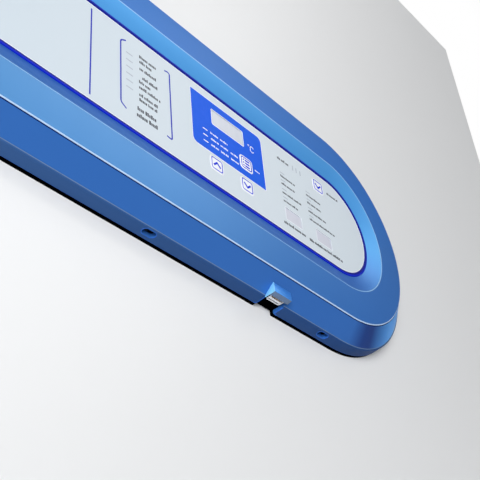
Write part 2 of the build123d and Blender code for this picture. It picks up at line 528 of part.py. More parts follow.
# Rear spacers that hold the cabinet off a wall, and capped access ports
SPACER_X, SPACER_ZS, SPACER_R = 450.0, (520.0, 1850.0), 16.0
with BuildPart() as rear_spacers:
    for x in (-SPACER_X, SPACER_X):
        for z in SPACER_ZS:
            lying(x, z, CABINET_BACK_Y, BACK_Y, SPACER_R)
save(rear_spacers, "rear_spacers")
CAP_X, CAP_ZS = -520.0, (1500.0, 1400.0)
CAP_R, CAP_T, KNOB_R, KNOB_T = 24.0, 6.0, 17.0, 8.0
with BuildPart() as access_port_caps:
    for z in CAP_ZS:
        lying(CAP_X, z, CABINET_BACK_Y, CABINET_BACK_Y + CAP_T, CAP_R)
        lying(CAP_X, z, CABINET_BACK_Y + CAP_T, CABINET_BACK_Y + CAP_T + KNOB_T, KNOB_R)
save(access_port_caps, "access_port_caps")

# Castors: two fixed forks at the back, two swivelling forks in front
WHEEL_R, WHEEL_W = 44.0, 30.0
CASTOR_X, CASTOR_BACK_Y, CASTOR_FRONT_Y = 540.0, 400.0, -300.0
TREAD_R = 5.0
FORK_GAP = 2.0
FORK_T = 4.0
TRAIL = 24.0
KINGPIN_R = 6.0
AXLE_R = 6.0
LIFT = 3.0
MOUNT_HALF, RACE_R, RACE_Z = 38.0, 26.0, 10.0
YOKE_HALF, YOKE_FOOT = 34.0, 12.0


def fork(x, y, axle_y, top, axle_z):
    """Castor yoke: a plate over the wheel and two cheeks that hold the axle."""
    half = WHEEL_W / 2 + FORK_GAP
    block(x - half - FORK_T, x + half + FORK_T, y - YOKE_HALF, y + YOKE_HALF, top - FORK_T, top)
    for side in (-1, 1):
        inner = x + side * half
        outer = x + side * (half + FORK_T)
        with BuildSketch(Plane.YZ.offset(min(inner, outer))) as cheek:
            with BuildLine():
                Polyline((y - YOKE_HALF + FORK_T, top - FORK_T), (y + YOKE_HALF - FORK_T, top - FORK_T),
                         (axle_y + YOKE_FOOT, axle_z), (axle_y + YOKE_FOOT / 2, axle_z - YOKE_FOOT),
                         (axle_y - YOKE_FOOT / 2, axle_z - YOKE_FOOT), (axle_y - YOKE_FOOT, axle_z), close=True)
            make_face()
        extrude(cheek.sketch, amount=FORK_T)
    with Locations(Location((x, axle_y, axle_z), (0, 90, 0))):
        Cylinder(AXLE_R, 2 * (half + FORK_T + 4))


def wheel(x, y, z):
    """Castor wheel: rounded tread, dished sides and a bored hub."""
    with BuildSketch(Plane.XY.offset(z)) as half_section:
        with Locations((x, y + WHEEL_R / 2)):
            Rectangle(WHEEL_W, WHEEL_R)
        fillet(half_section.vertices().group_by(Axis.Y)[-1], TREAD_R)
    revolve(half_section.sketch, axis=Axis((x, y, z), (1, 0, 0)))
    with Locations(Location((x, y, z), (0, 90, 0))):
        Cylinder(AXLE_R + RUN_FIT, WHEEL_W + 2 * OVERCUT, mode=Mode.SUBTRACT)


with BuildPart() as castor_mounts:
    for side in (-1, 1):
        x = side * CASTOR_X
        fork(x, CASTOR_BACK_Y, CASTOR_BACK_Y, CHASSIS_Z, WHEEL_R)
        block(x - MOUNT_HALF, x + MOUNT_HALF, CASTOR_FRONT_Y - MOUNT_HALF, CASTOR_FRONT_Y + MOUNT_HALF,
              CHASSIS_Z - FORK_T, CHASSIS_Z)
        upright(x, CASTOR_FRONT_Y, CHASSIS_Z - RACE_Z, CHASSIS_Z - FORK_T, RACE_R)
        upright(x, CASTOR_FRONT_Y, CHASSIS_Z - RACE_Z - 8, CHASSIS_Z - FORK_T, KINGPIN_R)
        upright(x, CASTOR_FRONT_Y, CHASSIS_Z - RACE_Z - 9, CHASSIS_Z - RACE_Z - 6, KINGPIN_R + 4)
save(castor_mounts, "castor_mounts")
for side, name in ((-1, "left"), (1, "right")):
    with BuildPart() as castor_fork:
        fork(side * CASTOR_X, CASTOR_FRONT_Y, CASTOR_FRONT_Y + TRAIL, CHASSIS_Z - RACE_Z - 1, WHEEL_R + LIFT)
        upright(side * CASTOR_X, CASTOR_FRONT_Y, CHASSIS_Z - RACE_Z - 10, CHASSIS_Z, KINGPIN_R + RUN_FIT,
                mode=Mode.SUBTRACT)
    save(castor_fork, f"castor_fork_front_{name}")
    with BuildPart() as wheel_front:
        wheel(side * CASTOR_X, CASTOR_FRONT_Y + TRAIL, WHEEL_R + LIFT)
    save(wheel_front, f"wheel_front_{name}")
    with BuildPart() as wheel_rear:
        wheel(side * CASTOR_X, CASTOR_BACK_Y, WHEEL_R)
    save(wheel_rear, f"wheel_rear_{name}")

# Levelling feet: threaded stems with rounded pads, at the front corners
LEVELLER_X, LEVELLER_Y = 455.0, MACHINE_Y + 30
PAD_R, PAD_H, PAD_ROUND = 28.0, 16.0, 4.0
NUT_R, NUT_TOP, STEM_R = 14.0, 26.0, 8.0
with BuildPart() as levelling_feet:
    for side in (-1, 1):
        upright(side * LEVELLER_X, LEVELLER_Y, 0, PAD_H, PAD_R)
    fillet(levelling_feet.edges().filter_by(GeomType.CIRCLE), PAD_ROUND)
    for side in (-1, 1):
        upright(side * LEVELLER_X, LEVELLER_Y, PAD_H, NUT_TOP, NUT_R)
        upright(side * LEVELLER_X, LEVELLER_Y, NUT_TOP, CHASSIS_Z, STEM_R)
save(levelling_feet, "levelling_feet")

# Machine compartment grille: a shallow slotted pan that swings on the right
GRILLE_Z0, GRILLE_Z1 = 122.0, 434.0
GRILLE_Y0, GRILLE_Y1 = -438.0, -398.0
GRILLE_T = 3.0
GRILLE_PIN_X, GRILLE_PIN_Y = HINGE_X - 2, GRILLE_Y1 - 2
VANE_W, VANE_H, VANE_PITCH_X, VANE_PITCH_Z, VANE_COLUMNS, VANE_ROWS = 160.0, 9.0, 180.0, 22.0, 6, 10
LUG_HALF, LUG_H, LUG_Y0, LUG_Y1 = 9.0, 10.0, -12.0, 4.0
grille_mid = (GRILLE_Z0 + GRILLE_Z1) / 2
with BuildPart() as lower_grille:
    block(-HALF_W, HALF_W, GRILLE_Y0, GRILLE_Y1, GRILLE_Z0, GRILLE_Z1)
    fillet(lower_grille.edges().filter_by(Axis.Z).group_by(Axis.Y)[0], DOOR_EDGE_R)
    block(GRILLE_T - HALF_W, HALF_W - GRILLE_T, GRILLE_Y0 + GRILLE_T, GRILLE_Y1 + OVERCUT, GRILLE_Z0 + GRILLE_T,
          GRILLE_Z1 - GRILLE_T, mode=Mode.SUBTRACT)
    with BuildSketch(front(GRILLE_Y0)):
        with Locations((0, grille_mid)):
            with GridLocations(VANE_PITCH_X, VANE_PITCH_Z, VANE_COLUMNS, VANE_ROWS):
                SlotOverall(VANE_W, VANE_H)
    extrude(amount=-GRILLE_T, mode=Mode.SUBTRACT)
    for z0 in (GRILLE_Z0 + GRILLE_T, GRILLE_Z1 - GRILLE_T - LUG_H):
        block(HINGE_X - LUG_HALF, HINGE_X + LUG_HALF, GRILLE_Y1 + LUG_Y0, GRILLE_Y1 + LUG_Y1, z0, z0 + LUG_H)
        upright(GRILLE_PIN_X, GRILLE_PIN_Y, z0 - GRILLE_T - OVERCUT, z0 + LUG_H + GRILLE_T + OVERCUT,
                HINGE_PIN_R + RUN_FIT, mode=Mode.SUBTRACT)
save(lower_grille, "lower_grille")

# Air filter: a framed mat that clips behind the grille, in front of the condenser
FILTER_X0, FILTER_X1, FILTER_Y0, FILTER_Y1 = -560.0, -30.0, GRILLE_Y0 + GRILLE_T + 0.5, -420.0
FILTER_Z0, FILTER_Z1, FILTER_RIM, FILTER_RIM_T = 160.0, 415.0, 10.0, 3.0
with BuildPart() as air_filter:
    block(FILTER_X0, FILTER_X1, FILTER_Y0, FILTER_Y1, FILTER_Z0, FILTER_Z1)
    block(FILTER_X0 + FILTER_RIM, FILTER_X1 - FILTER_RIM, FILTER_Y0 - OVERCUT, FILTER_Y0 + FILTER_RIM_T,
          FILTER_Z0 + FILTER_RIM, FILTER_Z1 - FILTER_RIM, mode=Mode.SUBTRACT)
save(air_filter, "air_filter")

# Hinge brackets: plates with side leaves and the pins that the door hangs on, and the grille's pins
LEAF_T = 4.0
SIDE_X = HALF_W + LEAF_T
PLATE_T = 6.0
PLATE_X0, PLATE_Y0, PLATE_Y1 = HINGE_X - 46, HINGE_Y - 14, HINGE_Y + 120
TOP_LEAF_L, TOP_LEAF_H, LOW_LEAF_L, LOW_LEAF_H = 70.0, 80.0, 60.0, 60.0
BOLT_X, BOLT_YS, BOLT_R, BOLT_H = HINGE_X - 24, (HINGE_Y + 60, HINGE_Y + 100), 7.0, 2.5
TAB_X0, TAB_X1, TAB_Y0 = HINGE_X - 14, HINGE_X + 8, GRILLE_Y1 - 8
PIN_END = 12.0
plate_top = CABINET_TOP + PLATE_T
ledge_top = BOX_FLOOR_Z + PLATE_T
grille_roof = BOX_FLOOR_Z - SHEET
with BuildPart() as hinge_brackets:
    block(PLATE_X0, SIDE_X, PLATE_Y0, PLATE_Y1, CABINET_TOP, plate_top)
    block(HALF_W, SIDE_X, PLATE_Y1 - TOP_LEAF_L, PLATE_Y1, CABINET_TOP - TOP_LEAF_H, plate_top)
    upright(HINGE_X, HINGE_Y, DOOR_Z1 - BUSH_L, plate_top, HINGE_PIN_R)
    for y in BOLT_YS:
        upright(BOLT_X, y, plate_top, plate_top + BOLT_H, BOLT_R)
    block(PLATE_X0, SIDE_X, MACHINE_Y, CABINET_Y - SHEET, BOX_FLOOR_Z, ledge_top)
    block(HALF_W, SIDE_X, MACHINE_Y, MACHINE_Y + LOW_LEAF_L, BOX_FLOOR_Z - LOW_LEAF_H, ledge_top)
    upright(HINGE_X, HINGE_Y, BOX_FLOOR_Z, DOOR_Z0 + BUSH_L, HINGE_PIN_R)
    upright(HINGE_X, HINGE_Y, ledge_top, DOOR_Z0 - 0.3, HINGE_PIN_R + 3)
    upright(GRILLE_PIN_X, GRILLE_PIN_Y, CHASSIS_Z, GRILLE_Z0 + GRILLE_T + PIN_END, HINGE_PIN_R)
    upright(GRILLE_PIN_X, GRILLE_PIN_Y, GRILLE_Z1 - GRILLE_T - PIN_END, grille_roof, HINGE_PIN_R)
    block(TAB_X0, TAB_X1, TAB_Y0, MACHINE_Y + SHEET, CHASSIS_Z, GRILLE_Z0 - 4)
    block(TAB_X0, TAB_X1, TAB_Y0, MACHINE_Y, grille_roof - SHEET, grille_roof + SHEET)
save(hinge_brackets, "hinge_brackets")
COVER_GAP, COVER_T, COVER_FIT = 6.0, 3.0, 1.0
with BuildPart() as hinge_cover:
    block(PLATE_X0 - COVER_GAP, HALF_W, PLATE_Y0 - COVER_GAP - 2, PLATE_Y1 + COVER_GAP + 2, CABINET_TOP, HEIGHT)
    fillet(hinge_cover.edges().group_by(Axis.Z)[-1], COVER_T)
    block(PLATE_X0 - COVER_GAP + COVER_T, HALF_W - COVER_T, PLATE_Y0 - COVER_GAP + 1, PLATE_Y1 + COVER_GAP - 1,
          CABINET_TOP - OVERCUT, HEIGHT - SHEET, mode=Mode.SUBTRACT)
    block(PLATE_X0 - COVER_FIT, HALF_W + OVERCUT, PLATE_Y0 - COVER_FIT, PLATE_Y1 + COVER_FIT,
          CABINET_TOP - OVERCUT, plate_top + 0.2, mode=Mode.SUBTRACT)
save(hinge_cover, "hinge_cover")

# Door skin: a deep steel pan with rounded upright edges, drilled for the hinge bushes
DOOR_FOLD_R, BUSH_WALL, BUSH_OVER = 3.0, 4.0, 0.5
with BuildPart() as door_skin:
    block(-HALF_W, HALF_W, DOOR_FACE_Y, DOOR_BACK_Y - SHEET, DOOR_Z0, DOOR_Z1)
    fillet(door_skin.edges().filter_by(Axis.Z).group_by(Axis.Y)[0], DOOR_EDGE_R)
    fillet(door_skin.faces().sort_by(Axis.Y)[0].edges().filter_by(Axis.X), DOOR_FOLD_R)
    with BuildSketch(Plane.XY.offset(DOOR_Z0 + SHEET)) as cavity:
        with Locations((0, (DOOR_FACE_Y + DOOR_BACK_Y) / 2 + SHEET)):
            Rectangle(WIDTH - 2 * SHEET, DOOR_BACK_Y - DOOR_FACE_Y)
        fillet(cavity.vertices().group_by(Axis.Y)[0], DOOR_EDGE_R - SHEET)
    extrude(amount=DOOR_H - 2 * SHEET, mode=Mode.SUBTRACT)
    for z0 in (DOOR_Z0, DOOR_Z1 - BUSH_L - SHEET):
        upright(HINGE_X, HINGE_Y, z0, z0 + BUSH_L + SHEET, HINGE_PIN_R + BUSH_WALL)
    for z0, z1 in ((DOOR_Z0 - OVERCUT, DOOR_Z0 + BUSH_L + BUSH_OVER),
                   (DOOR_Z1 - BUSH_L - BUSH_OVER, DOOR_Z1 + OVERCUT)):
        upright(HINGE_X, HINGE_Y, z0, z1, HINGE_PIN_R + RUN_FIT, mode=Mode.SUBTRACT)
save(door_skin, "door_skin")

# Door insulation: one foamed block inside the skin, clear of the hinge bosses
BUSH_ROOM_H = BUSH_L + 4
with BuildPart() as door_foam:
    with BuildSketch(Plane.XY.offset(DOOR_Z0 + frame_border)) as foam_plan:
        with Locations((0, (DOOR_FACE_Y + DOOR_BACK_Y) / 2)):
            Rectangle(WIDTH - 2 * frame_border, DOOR_BACK_Y - DOOR_FACE_Y - 2 * frame_border)
        fillet(foam_plan.vertices().group_by(Axis.Y)[0], DOOR_EDGE_R - SHEET)
    extrude(amount=DOOR_H - 2 * frame_border)
    for z0 in (DOOR_Z0, DOOR_Z1 - BUSH_ROOM_H):
        block(HINGE_X - 12, HALF_W, HINGE_Y - 12, DOOR_BACK_Y, z0, z0 + BUSH_ROOM_H, mode=Mode.SUBTRACT)
save(door_foam, "door_foam")

# Door liner: formed inner panel with a raised, dished field that faces the inner doors
BEAD_OUT_IN, BEAD_W, BEAD_R, BEAD_H, BEAD_TAPER = 25.0, 20.0, 40.0, 6.0, 20.0
with BuildPart() as door_liner:
    block(SHEET - HALF_W, HALF_W - SHEET, DOOR_BACK_Y - SHEET, DOOR_BACK_Y, DOOR_Z0 + SHEET, DOOR_Z1 - SHEET)
    with BuildSketch(front(DOOR_BACK_Y)):
        with Locations((0, CHAMBER_MID_Z)):
            for inset, radius, mode in ((BEAD_OUT_IN, BEAD_R, Mode.ADD),
                                        (BEAD_OUT_IN + BEAD_W, BEAD_R - BEAD_W / 2, Mode.SUBTRACT)):
                RectangleRounded(CHAMBER_W - 2 * inset, CHAMBER_H - 2 * inset, radius, mode=mode)
    extrude(amount=-BEAD_H, taper=BEAD_TAPER)
save(door_liner, "door_liner")

# Door gasket: a broad base that clips to the liner and a narrower magnetic lip
GASKET_W, GASKET_H = 1146.0, 1459.0
GASKET_Z = (BOX_FLOOR_Z + CABINET_TOP) / 2 + 2.5
gasket_bands = ((DOOR_BACK_Y, DOOR_BACK_Y + 4, 24), (DOOR_BACK_Y + 3, CABINET_Y - 0.4, 17))
with BuildPart() as door_gasket:
    for y0, y1, band in gasket_bands:
        with BuildSketch(front(y0)):
            with Locations((0, GASKET_Z)):
                RectangleRounded(GASKET_W + band, GASKET_H + band, 20)
                RectangleRounded(GASKET_W - band, GASKET_H - band, 12, mode=Mode.SUBTRACT)
        extrude(amount=y0 - y1)
save(door_gasket, "door_gasket")

# Door handle: plate with two lugs and their pin, and the pull lever that turns on it
HANDLE_X, HANDLE_Z = -566.0, 1230.0
PLATE_W, PLATE_H, PLATE_R, PLATE_Y = 76.0, 350.0, 30.0, DOOR_FACE_Y - 7
PIVOT_X, PIVOT_Y, PIVOT_R = -585.0, -463.0, 4.0
HANDLE_LUG_T, HANDLE_LUG_R, LUG_GAP, LEVER_H = 12.0, 11.0, 0.5, 220.0
LOCK_X, LOCK_Z = HANDLE_X + 6, HANDLE_Z - 148
LOCK_R, COLLAR_W, COLLAR_T = 9.0, 5.0, 5.0
KEYWAY_HALF_W, KEYWAY_HALF_H = 1.5, 6.0
lever_z0, lever_z1 = HANDLE_Z - LEVER_H / 2, HANDLE_Z + LEVER_H / 2
with BuildPart() as handle_base:
    with BuildSketch(front(DOOR_FACE_Y)):
        with Locations((HANDLE_X, HANDLE_Z)):
            RectangleRounded(PLATE_W, PLATE_H, PLATE_R)
    extrude(amount=DOOR_FACE_Y - PLATE_Y)
    fillet(handle_base.faces().sort_by(Axis.Y)[0].edges(), 3)
    for z0 in (lever_z0 - HANDLE_LUG_T - LUG_GAP, lever_z1 + LUG_GAP):
        with BuildSketch(Plane.XY.offset(z0)):
            with Locations((PIVOT_X, PIVOT_Y)):
                Circle(HANDLE_LUG_R)
            with Locations((PIVOT_X, (PIVOT_Y + PLATE_Y) / 2)):
                Rectangle(2 * HANDLE_LUG_R, PLATE_Y - PIVOT_Y + 1)
        extrude(amount=HANDLE_LUG_T)
    upright(PIVOT_X, PIVOT_Y, lever_z0 - HANDLE_LUG_T, lever_z1 + HANDLE_LUG_T, PIVOT_R)
    lying(LOCK_X, LOCK_Z, PLATE_Y - COLLAR_T, PLATE_Y, LOCK_R + COLLAR_W)
    lying(LOCK_X, LOCK_Z, PLATE_Y - COLLAR_T - OVERCUT, PLATE_Y + 5, LOCK_R + RUN_FIT, mode=Mode.SUBTRACT)
save(handle_base, "handle_base")

# Pull lever: a sleeve on the pin, two arms and an upright grip
GRIP_X0, GRIP_X1 = -552.0, -522.0
GRIP_Y1 = FRONT_Y + 21
GRIP_R, GRIP_REACH = 9.0, 24.0
ARM_H, SLEEVE_R = 26.0, 10.0
with BuildPart() as handle_lever:
    upright(PIVOT_X, PIVOT_Y, lever_z0, lever_z1, SLEEVE_R)
    for z0 in (lever_z0, lever_z1 - ARM_H):
        with BuildSketch(Plane.XY.offset(z0)):
            with BuildLine():
                Polyline((PIVOT_X - 7, PIVOT_Y - 7), (GRIP_X0 + 4, FRONT_Y + 6), (GRIP_X1 - 6, GRIP_Y1 - 4),
                         (PIVOT_X + 7, PIVOT_Y + 7), close=True)
            make_face()
        extrude(amount=ARM_H)
    with BuildSketch(Plane.XY.offset(lever_z0 - GRIP_REACH)):
        with Locations(((GRIP_X0 + GRIP_X1) / 2, (FRONT_Y + GRIP_Y1) / 2)):
            RectangleRounded(GRIP_X1 - GRIP_X0, GRIP_Y1 - FRONT_Y, GRIP_R)
    extrude(amount=LEVER_H + 2 * GRIP_REACH)
    upright(PIVOT_X, PIVOT_Y, lever_z0 - OVERCUT, lever_z1 + OVERCUT, PIVOT_R + RUN_FIT, mode=Mode.SUBTRACT)
save(handle_lever, "handle_lever")

# Lock barrel with its key slot
with BuildPart() as lock_barrel:
    lying(LOCK_X, LOCK_Z, PLATE_Y - COLLAR_T - 3, PLATE_Y + 4.5, LOCK_R)
    block(LOCK_X - KEYWAY_HALF_W, LOCK_X + KEYWAY_HALF_W, PLATE_Y - COLLAR_T - 4, PLATE_Y - COLLAR_T + 1,
          LOCK_Z - KEYWAY_HALF_H, LOCK_Z + KEYWAY_HALF_H, mode=Mode.SUBTRACT)
save(lock_barrel, "lock_barrel")

# Latch keeper: striker plate on the cabinet's left side, behind the handle
KEEPER_Y, KEEPER_W, KEEPER_H, KEEPER_R = CABINET_Y + 34, 60.0, 110.0, 8.0
KEEPER_PITCH, KEEPER_HOLE_R = 76.0, 4.0
with BuildPart() as latch_keeper:
    with BuildSketch(Plane.YZ.offset(-SIDE_X)):
        with Locations((KEEPER_Y, HANDLE_Z)):
            RectangleRounded(KEEPER_W, KEEPER_H, KEEPER_R)
            with GridLocations(0, KEEPER_PITCH, 1, 2):
                Circle(KEEPER_HOLE_R, mode=Mode.SUBTRACT)
    extrude(amount=LEAF_T)
save(latch_keeper, "latch_keeper")

# Console housing: half section, from the centre line out over the crest, ring and wall
SLOT_X = 169.3
SLOT_P = -12.6
NOTCH_X0, NOTCH_X1 = 103.1, 121.8
HOOD_R, HOOD_P, HOOD_BACK_P = 100.9, -0.7, -5.6
housing_section = [
    (0, FLOOR_P), (RING_R, FLOOR_P), (RING_R, RING_P), (CREST_R, CREST_P), (EDGE_R, EDGE_P),
    (STEP_R, STEP_P), (STEP_R + 1.2, STEP_P - 0.5), (FLANGE_R, FLANGE_P), (FLANGE_R - 3, FLANGE_P),
    (STEP_R - 2.2, STEP_P - 2.3), (EDGE_R - 1.2, EDGE_P - 3.1), (CREST_R + 0.5, CREST_P - 3.1),
    (RING_R + 2, FLOOR_P - FLOOR_T), (0, FLOOR_P - FLOOR_T)]
ROUNDED = (((CREST_R, CREST_P), 1.5), ((EDGE_R, EDGE_P), 1.2))


def run_round(points, rounded=()):
    """Carry a half section along the console's straight run and round both of its ends."""
    with BuildSketch() as half:
        with BuildLine():
            Polyline(*[(MEMBRANE_Y - p, r) for r, p in points], close=True)
        make_face()
        for (r, p), radius in rounded:
            fillet(half.vertices().sort_by_distance((MEMBRANE_Y - p, r, 0))[0], radius)
    for way in (1, -1):
        end_centre = (END_X, 0, CONSOLE_Z)
        with BuildSketch(Plane(origin=end_centre, x_dir=(0, 1, 0), z_dir=(way, 0, 0))) as straight:
            add(half.sketch)
        extrude(straight.sketch, amount=-way * 2 * END_X)
        end_centre = (way * END_X, 0, CONSOLE_Z)
        with BuildSketch(Plane(origin=end_centre, x_dir=(0, 1, 0), z_dir=(1, 0, 0))) as end_section:
            add(half.sketch)
        revolve(end_section.sketch, axis=Axis(end_centre, (0, 1, 0)), revolution_arc=180 * way)


def on_console(x, z, p):
    """Plane facing the user at a place on the console, at height p from the membrane's plane."""
    return Plane(origin=(x, MEMBRANE_Y - p, CONSOLE_Z + z), x_dir=(1, 0, 0), z_dir=(0, -1, 0))


# Windows as centre and size, keys and screw posts as centres, all from the console's middle
windows = {"main": (67.8, 20.2, 32.9, 13.9), "voltage": (135.3, -23.3, 18.5, 10.9),
           "ambient": (171.6, -23.6, 18.5, 10.9)}
keys = {"key_set": (85.0, -2.9), "key_up": (52.7, -23.6), "key_down": (83.6, -23.6),
        "key_silence": (174.0, 28.9)}
posts = [(-150, 72), (0, 72), (150, 72), (-150, -72), (0, -72), (150, -72),
         (-END_X - 72, 0), (END_X + 72, 0)]
hood_section = [(92.0, -2.1), (HOOD_R, HOOD_P), (HOOD_R, HOOD_BACK_P), (95.4, HOOD_BACK_P), (92.6, -3.6)]
KEY_W, KEY_H, KEY_R = 11.8, 10.8, 2.0
SLOT_L, SLOT_W, SLOT_DEPTH = 10.2, 4.9, 6.0
POST_R, BOARD_POST_R, BOARD_POST_X, BOARD_POST_Z = 4.0, 2.5, 66.0, 34.0
WINDOW_LAP = 1.0
BOARD_X, BOARD_P, BOARD_T, BOARD_W, BOARD_H = 118.0, -8.0, 1.6, 148.0, 78.0
with BuildPart() as console_housing:
    run_round(housing_section, ROUNDED)
    with BuildSketch(Plane.XY.offset(CONSOLE_Z - FLANGE_R - 1)):
        for x in (-SLOT_X, 0, SLOT_X):
            with Locations((x, MEMBRANE_Y - SLOT_P)):
                SlotOverall(SLOT_L, SLOT_W)
    extrude(amount=SLOT_DEPTH, mode=Mode.SUBTRACT)
    block(NOTCH_X0, NOTCH_X1, MEMBRANE_Y - HOOD_BACK_P, DOOR_FACE_Y + OVERCUT,
          CONSOLE_Z - FLANGE_R - OVERCUT, CONSOLE_Z - EDGE_R, mode=Mode.SUBTRACT)
    with BuildSketch(Plane.YZ.offset(NOTCH_X0)):
        with BuildLine():
            Polyline(*[(MEMBRANE_Y - p, CONSOLE_Z - r) for r, p in hood_section], close=True)
        make_face()
    extrude(amount=NOTCH_X1 - NOTCH_X0)
    for x, z in posts:
        lying(x, CONSOLE_Z + z, MEMBRANE_Y - 2, DOOR_FACE_Y, POST_R)
    for x in (BOARD_X - BOARD_POST_X, BOARD_X + BOARD_POST_X):
        for z in (-BOARD_POST_Z, BOARD_POST_Z):
            lying(x, CONSOLE_Z + z, MEMBRANE_Y + 3, MEMBRANE_Y - BOARD_P, BOARD_POST_R)
    for x, z, w, h in windows.values():
        with BuildSketch(on_console(x, z, FLOOR_P - FLOOR_T)):
            Rectangle(w - 2 * WINDOW_LAP, h - 2 * WINDOW_LAP)
        extrude(amount=FLOOR_T, mode=Mode.SUBTRACT)
save(console_housing, "console_housing")

# Foam gasket between the console and the door
SEAL_R0, SEAL_R1 = FLANGE_R - 4.0, FLANGE_R - 0.1
with BuildPart() as console_gasket:
    run_round([(SEAL_R0, FLANGE_P), (SEAL_R1, FLANGE_P), (SEAL_R1, -STAND_OFF), (SEAL_R0, -STAND_OFF)])
    block(NOTCH_X0, NOTCH_X1, MEMBRANE_Y + 10, DOOR_FACE_Y + OVERCUT, CONSOLE_Z - FLANGE_R - OVERCUT,
          CONSOLE_Z - EDGE_R, mode=Mode.SUBTRACT)
save(console_gasket, "console_gasket")

# Trim ring round the membrane, and the membrane with its window and key cut-outs
TRIM_R0, TRIM_R1 = PANEL_R + 0.05, RING_R - 0.06
TRIM_SIDE_P, TRIM_TOP_P, TRIM_BEVEL = 0.1, 0.6, 0.85
trim_section = [(TRIM_R0, FLOOR_P), (TRIM_R1, FLOOR_P), (TRIM_R1, TRIM_SIDE_P),
                (TRIM_R1 - TRIM_BEVEL, TRIM_TOP_P), (TRIM_R0 + TRIM_BEVEL, TRIM_TOP_P),
                (TRIM_R0, TRIM_SIDE_P)]
with BuildPart() as console_trim_ring:
    run_round(trim_section)
save(console_trim_ring, "console_trim_ring")
WINDOW_FIT, WINDOW_R, WINDOW_T = 0.1, 1.0, 1.6
KEY_FIT = 0.15
with BuildPart() as membrane_panel:
    with BuildSketch(on_console(0, 0, FLOOR_P)):
        SlotOverall(2 * CONSOLE_HALF, 2 * PANEL_R)
        for x, z, w, h in windows.values():
            with Locations((x, z)):
                RectangleRounded(w + 2 * WINDOW_FIT, h + 2 * WINDOW_FIT, WINDOW_R + WINDOW_FIT,
                                 mode=Mode.SUBTRACT)
        for x, z in keys.values():
            with Locations((x, z)):
                RectangleRounded(KEY_W + 2 * KEY_FIT, KEY_H + 2 * KEY_FIT, KEY_R + KEY_FIT, mode=Mode.SUBTRACT)
    extrude(amount=-FLOOR_P)
save(membrane_panel, "membrane_panel")
with BuildPart() as display_windows:
    for x, z, w, h in windows.values():
        with BuildSketch(on_console(x, z, FLOOR_P)):
            RectangleRounded(w, h, WINDOW_R)
        extrude(amount=WINDOW_T)
save(display_windows, "display_windows")

# Keys: rounded pads that stand just proud of the membrane
KEY_BACK_P, KEY_FACE_P, KEY_BEVEL = -1.3, 0.35, 0.3
for name, (x, z) in keys.items():
    with BuildPart() as key:
        with BuildSketch(on_console(x, z, KEY_BACK_P)):
            RectangleRounded(KEY_W, KEY_H, KEY_R)
        extrude(amount=KEY_FACE_P - KEY_BACK_P)
        chamfer(key.faces().sort_by(Axis.Y)[0].edges(), KEY_BEVEL)
    save(key, name)

# Display board on its four posts, with a numeral module behind each window
MODULE_IN, MODULE_GAP = 2.0, 0.3
CHIP, CHIP_T = 14.0, 2.0
chips = [(70, 0), (110, -20), (150, 15)]
with BuildPart() as display_board:
    with BuildSketch(on_console(BOARD_X, 0, BOARD_P)):
        RectangleRounded(BOARD_W, BOARD_H, 3)
    extrude(amount=-BOARD_T)
    for x, z, w, h in windows.values():
        with BuildSketch(on_console(x, z, BOARD_P)):
            Rectangle(w - 2 * MODULE_IN, h - 2 * MODULE_IN)
        extrude(amount=FLOOR_P - BOARD_P - MODULE_GAP)
    for x, z in chips:
        with BuildSketch(on_console(x, z, BOARD_P - BOARD_T)):
            Rectangle(CHIP, CHIP)
        extrude(amount=-CHIP_T)
save(display_board, "display_board")

# Service socket under the hood: a thin metal shell with a contact tongue, mouth down
SOCKET_X, SOCKET_Y = (NOTCH_X0 + NOTCH_X1) / 2, MEMBRANE_Y + 8.5
SOCKET_W, SOCKET_D, SOCKET_L, SOCKET_T, SOCKET_END = 13.1, 5.7, 13.0, 0.4, 1.5
SOCKET_Z = CONSOLE_Z - FLANGE_R + 2.4
TONGUE_HALF, TONGUE_T, TONGUE_IN = 5.6, 1.8, 0.8
with BuildPart() as usb_socket:
    with BuildSketch(Plane.XY.offset(SOCKET_Z)):
        with Locations((SOCKET_X, SOCKET_Y)):
            RectangleRounded(SOCKET_W, SOCKET_D, 1.5 * SOCKET_T)
    extrude(amount=SOCKET_L)
    with BuildSketch(Plane.XY.offset(SOCKET_Z)):
        with Locations((SOCKET_X, SOCKET_Y)):
            RectangleRounded(SOCKET_W - 2 * SOCKET_T, SOCKET_D - 2 * SOCKET_T, SOCKET_T)
    extrude(amount=SOCKET_L - SOCKET_END, mode=Mode.SUBTRACT)
    block(SOCKET_X - TONGUE_HALF, SOCKET_X + TONGUE_HALF, SOCKET_Y - 0.1 - TONGUE_T, SOCKET_Y - 0.1,
          SOCKET_Z + TONGUE_IN, SOCKET_Z + SOCKET_L)
save(usb_socket, "usb_socket")
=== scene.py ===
"""Looks of the upright ultra low temperature freezer, seen from close below its console.

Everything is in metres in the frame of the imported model: X right, Y back, Z up.
The console's own parts are laid out in millimetres from its middle: x to the right,
z up, and p from the membrane's face towards the user.
"""
import json
from math import cos, pi, radians, sin, tan
from random import Random

import bmesh
import bpy
from mathutils import Matrix, Vector


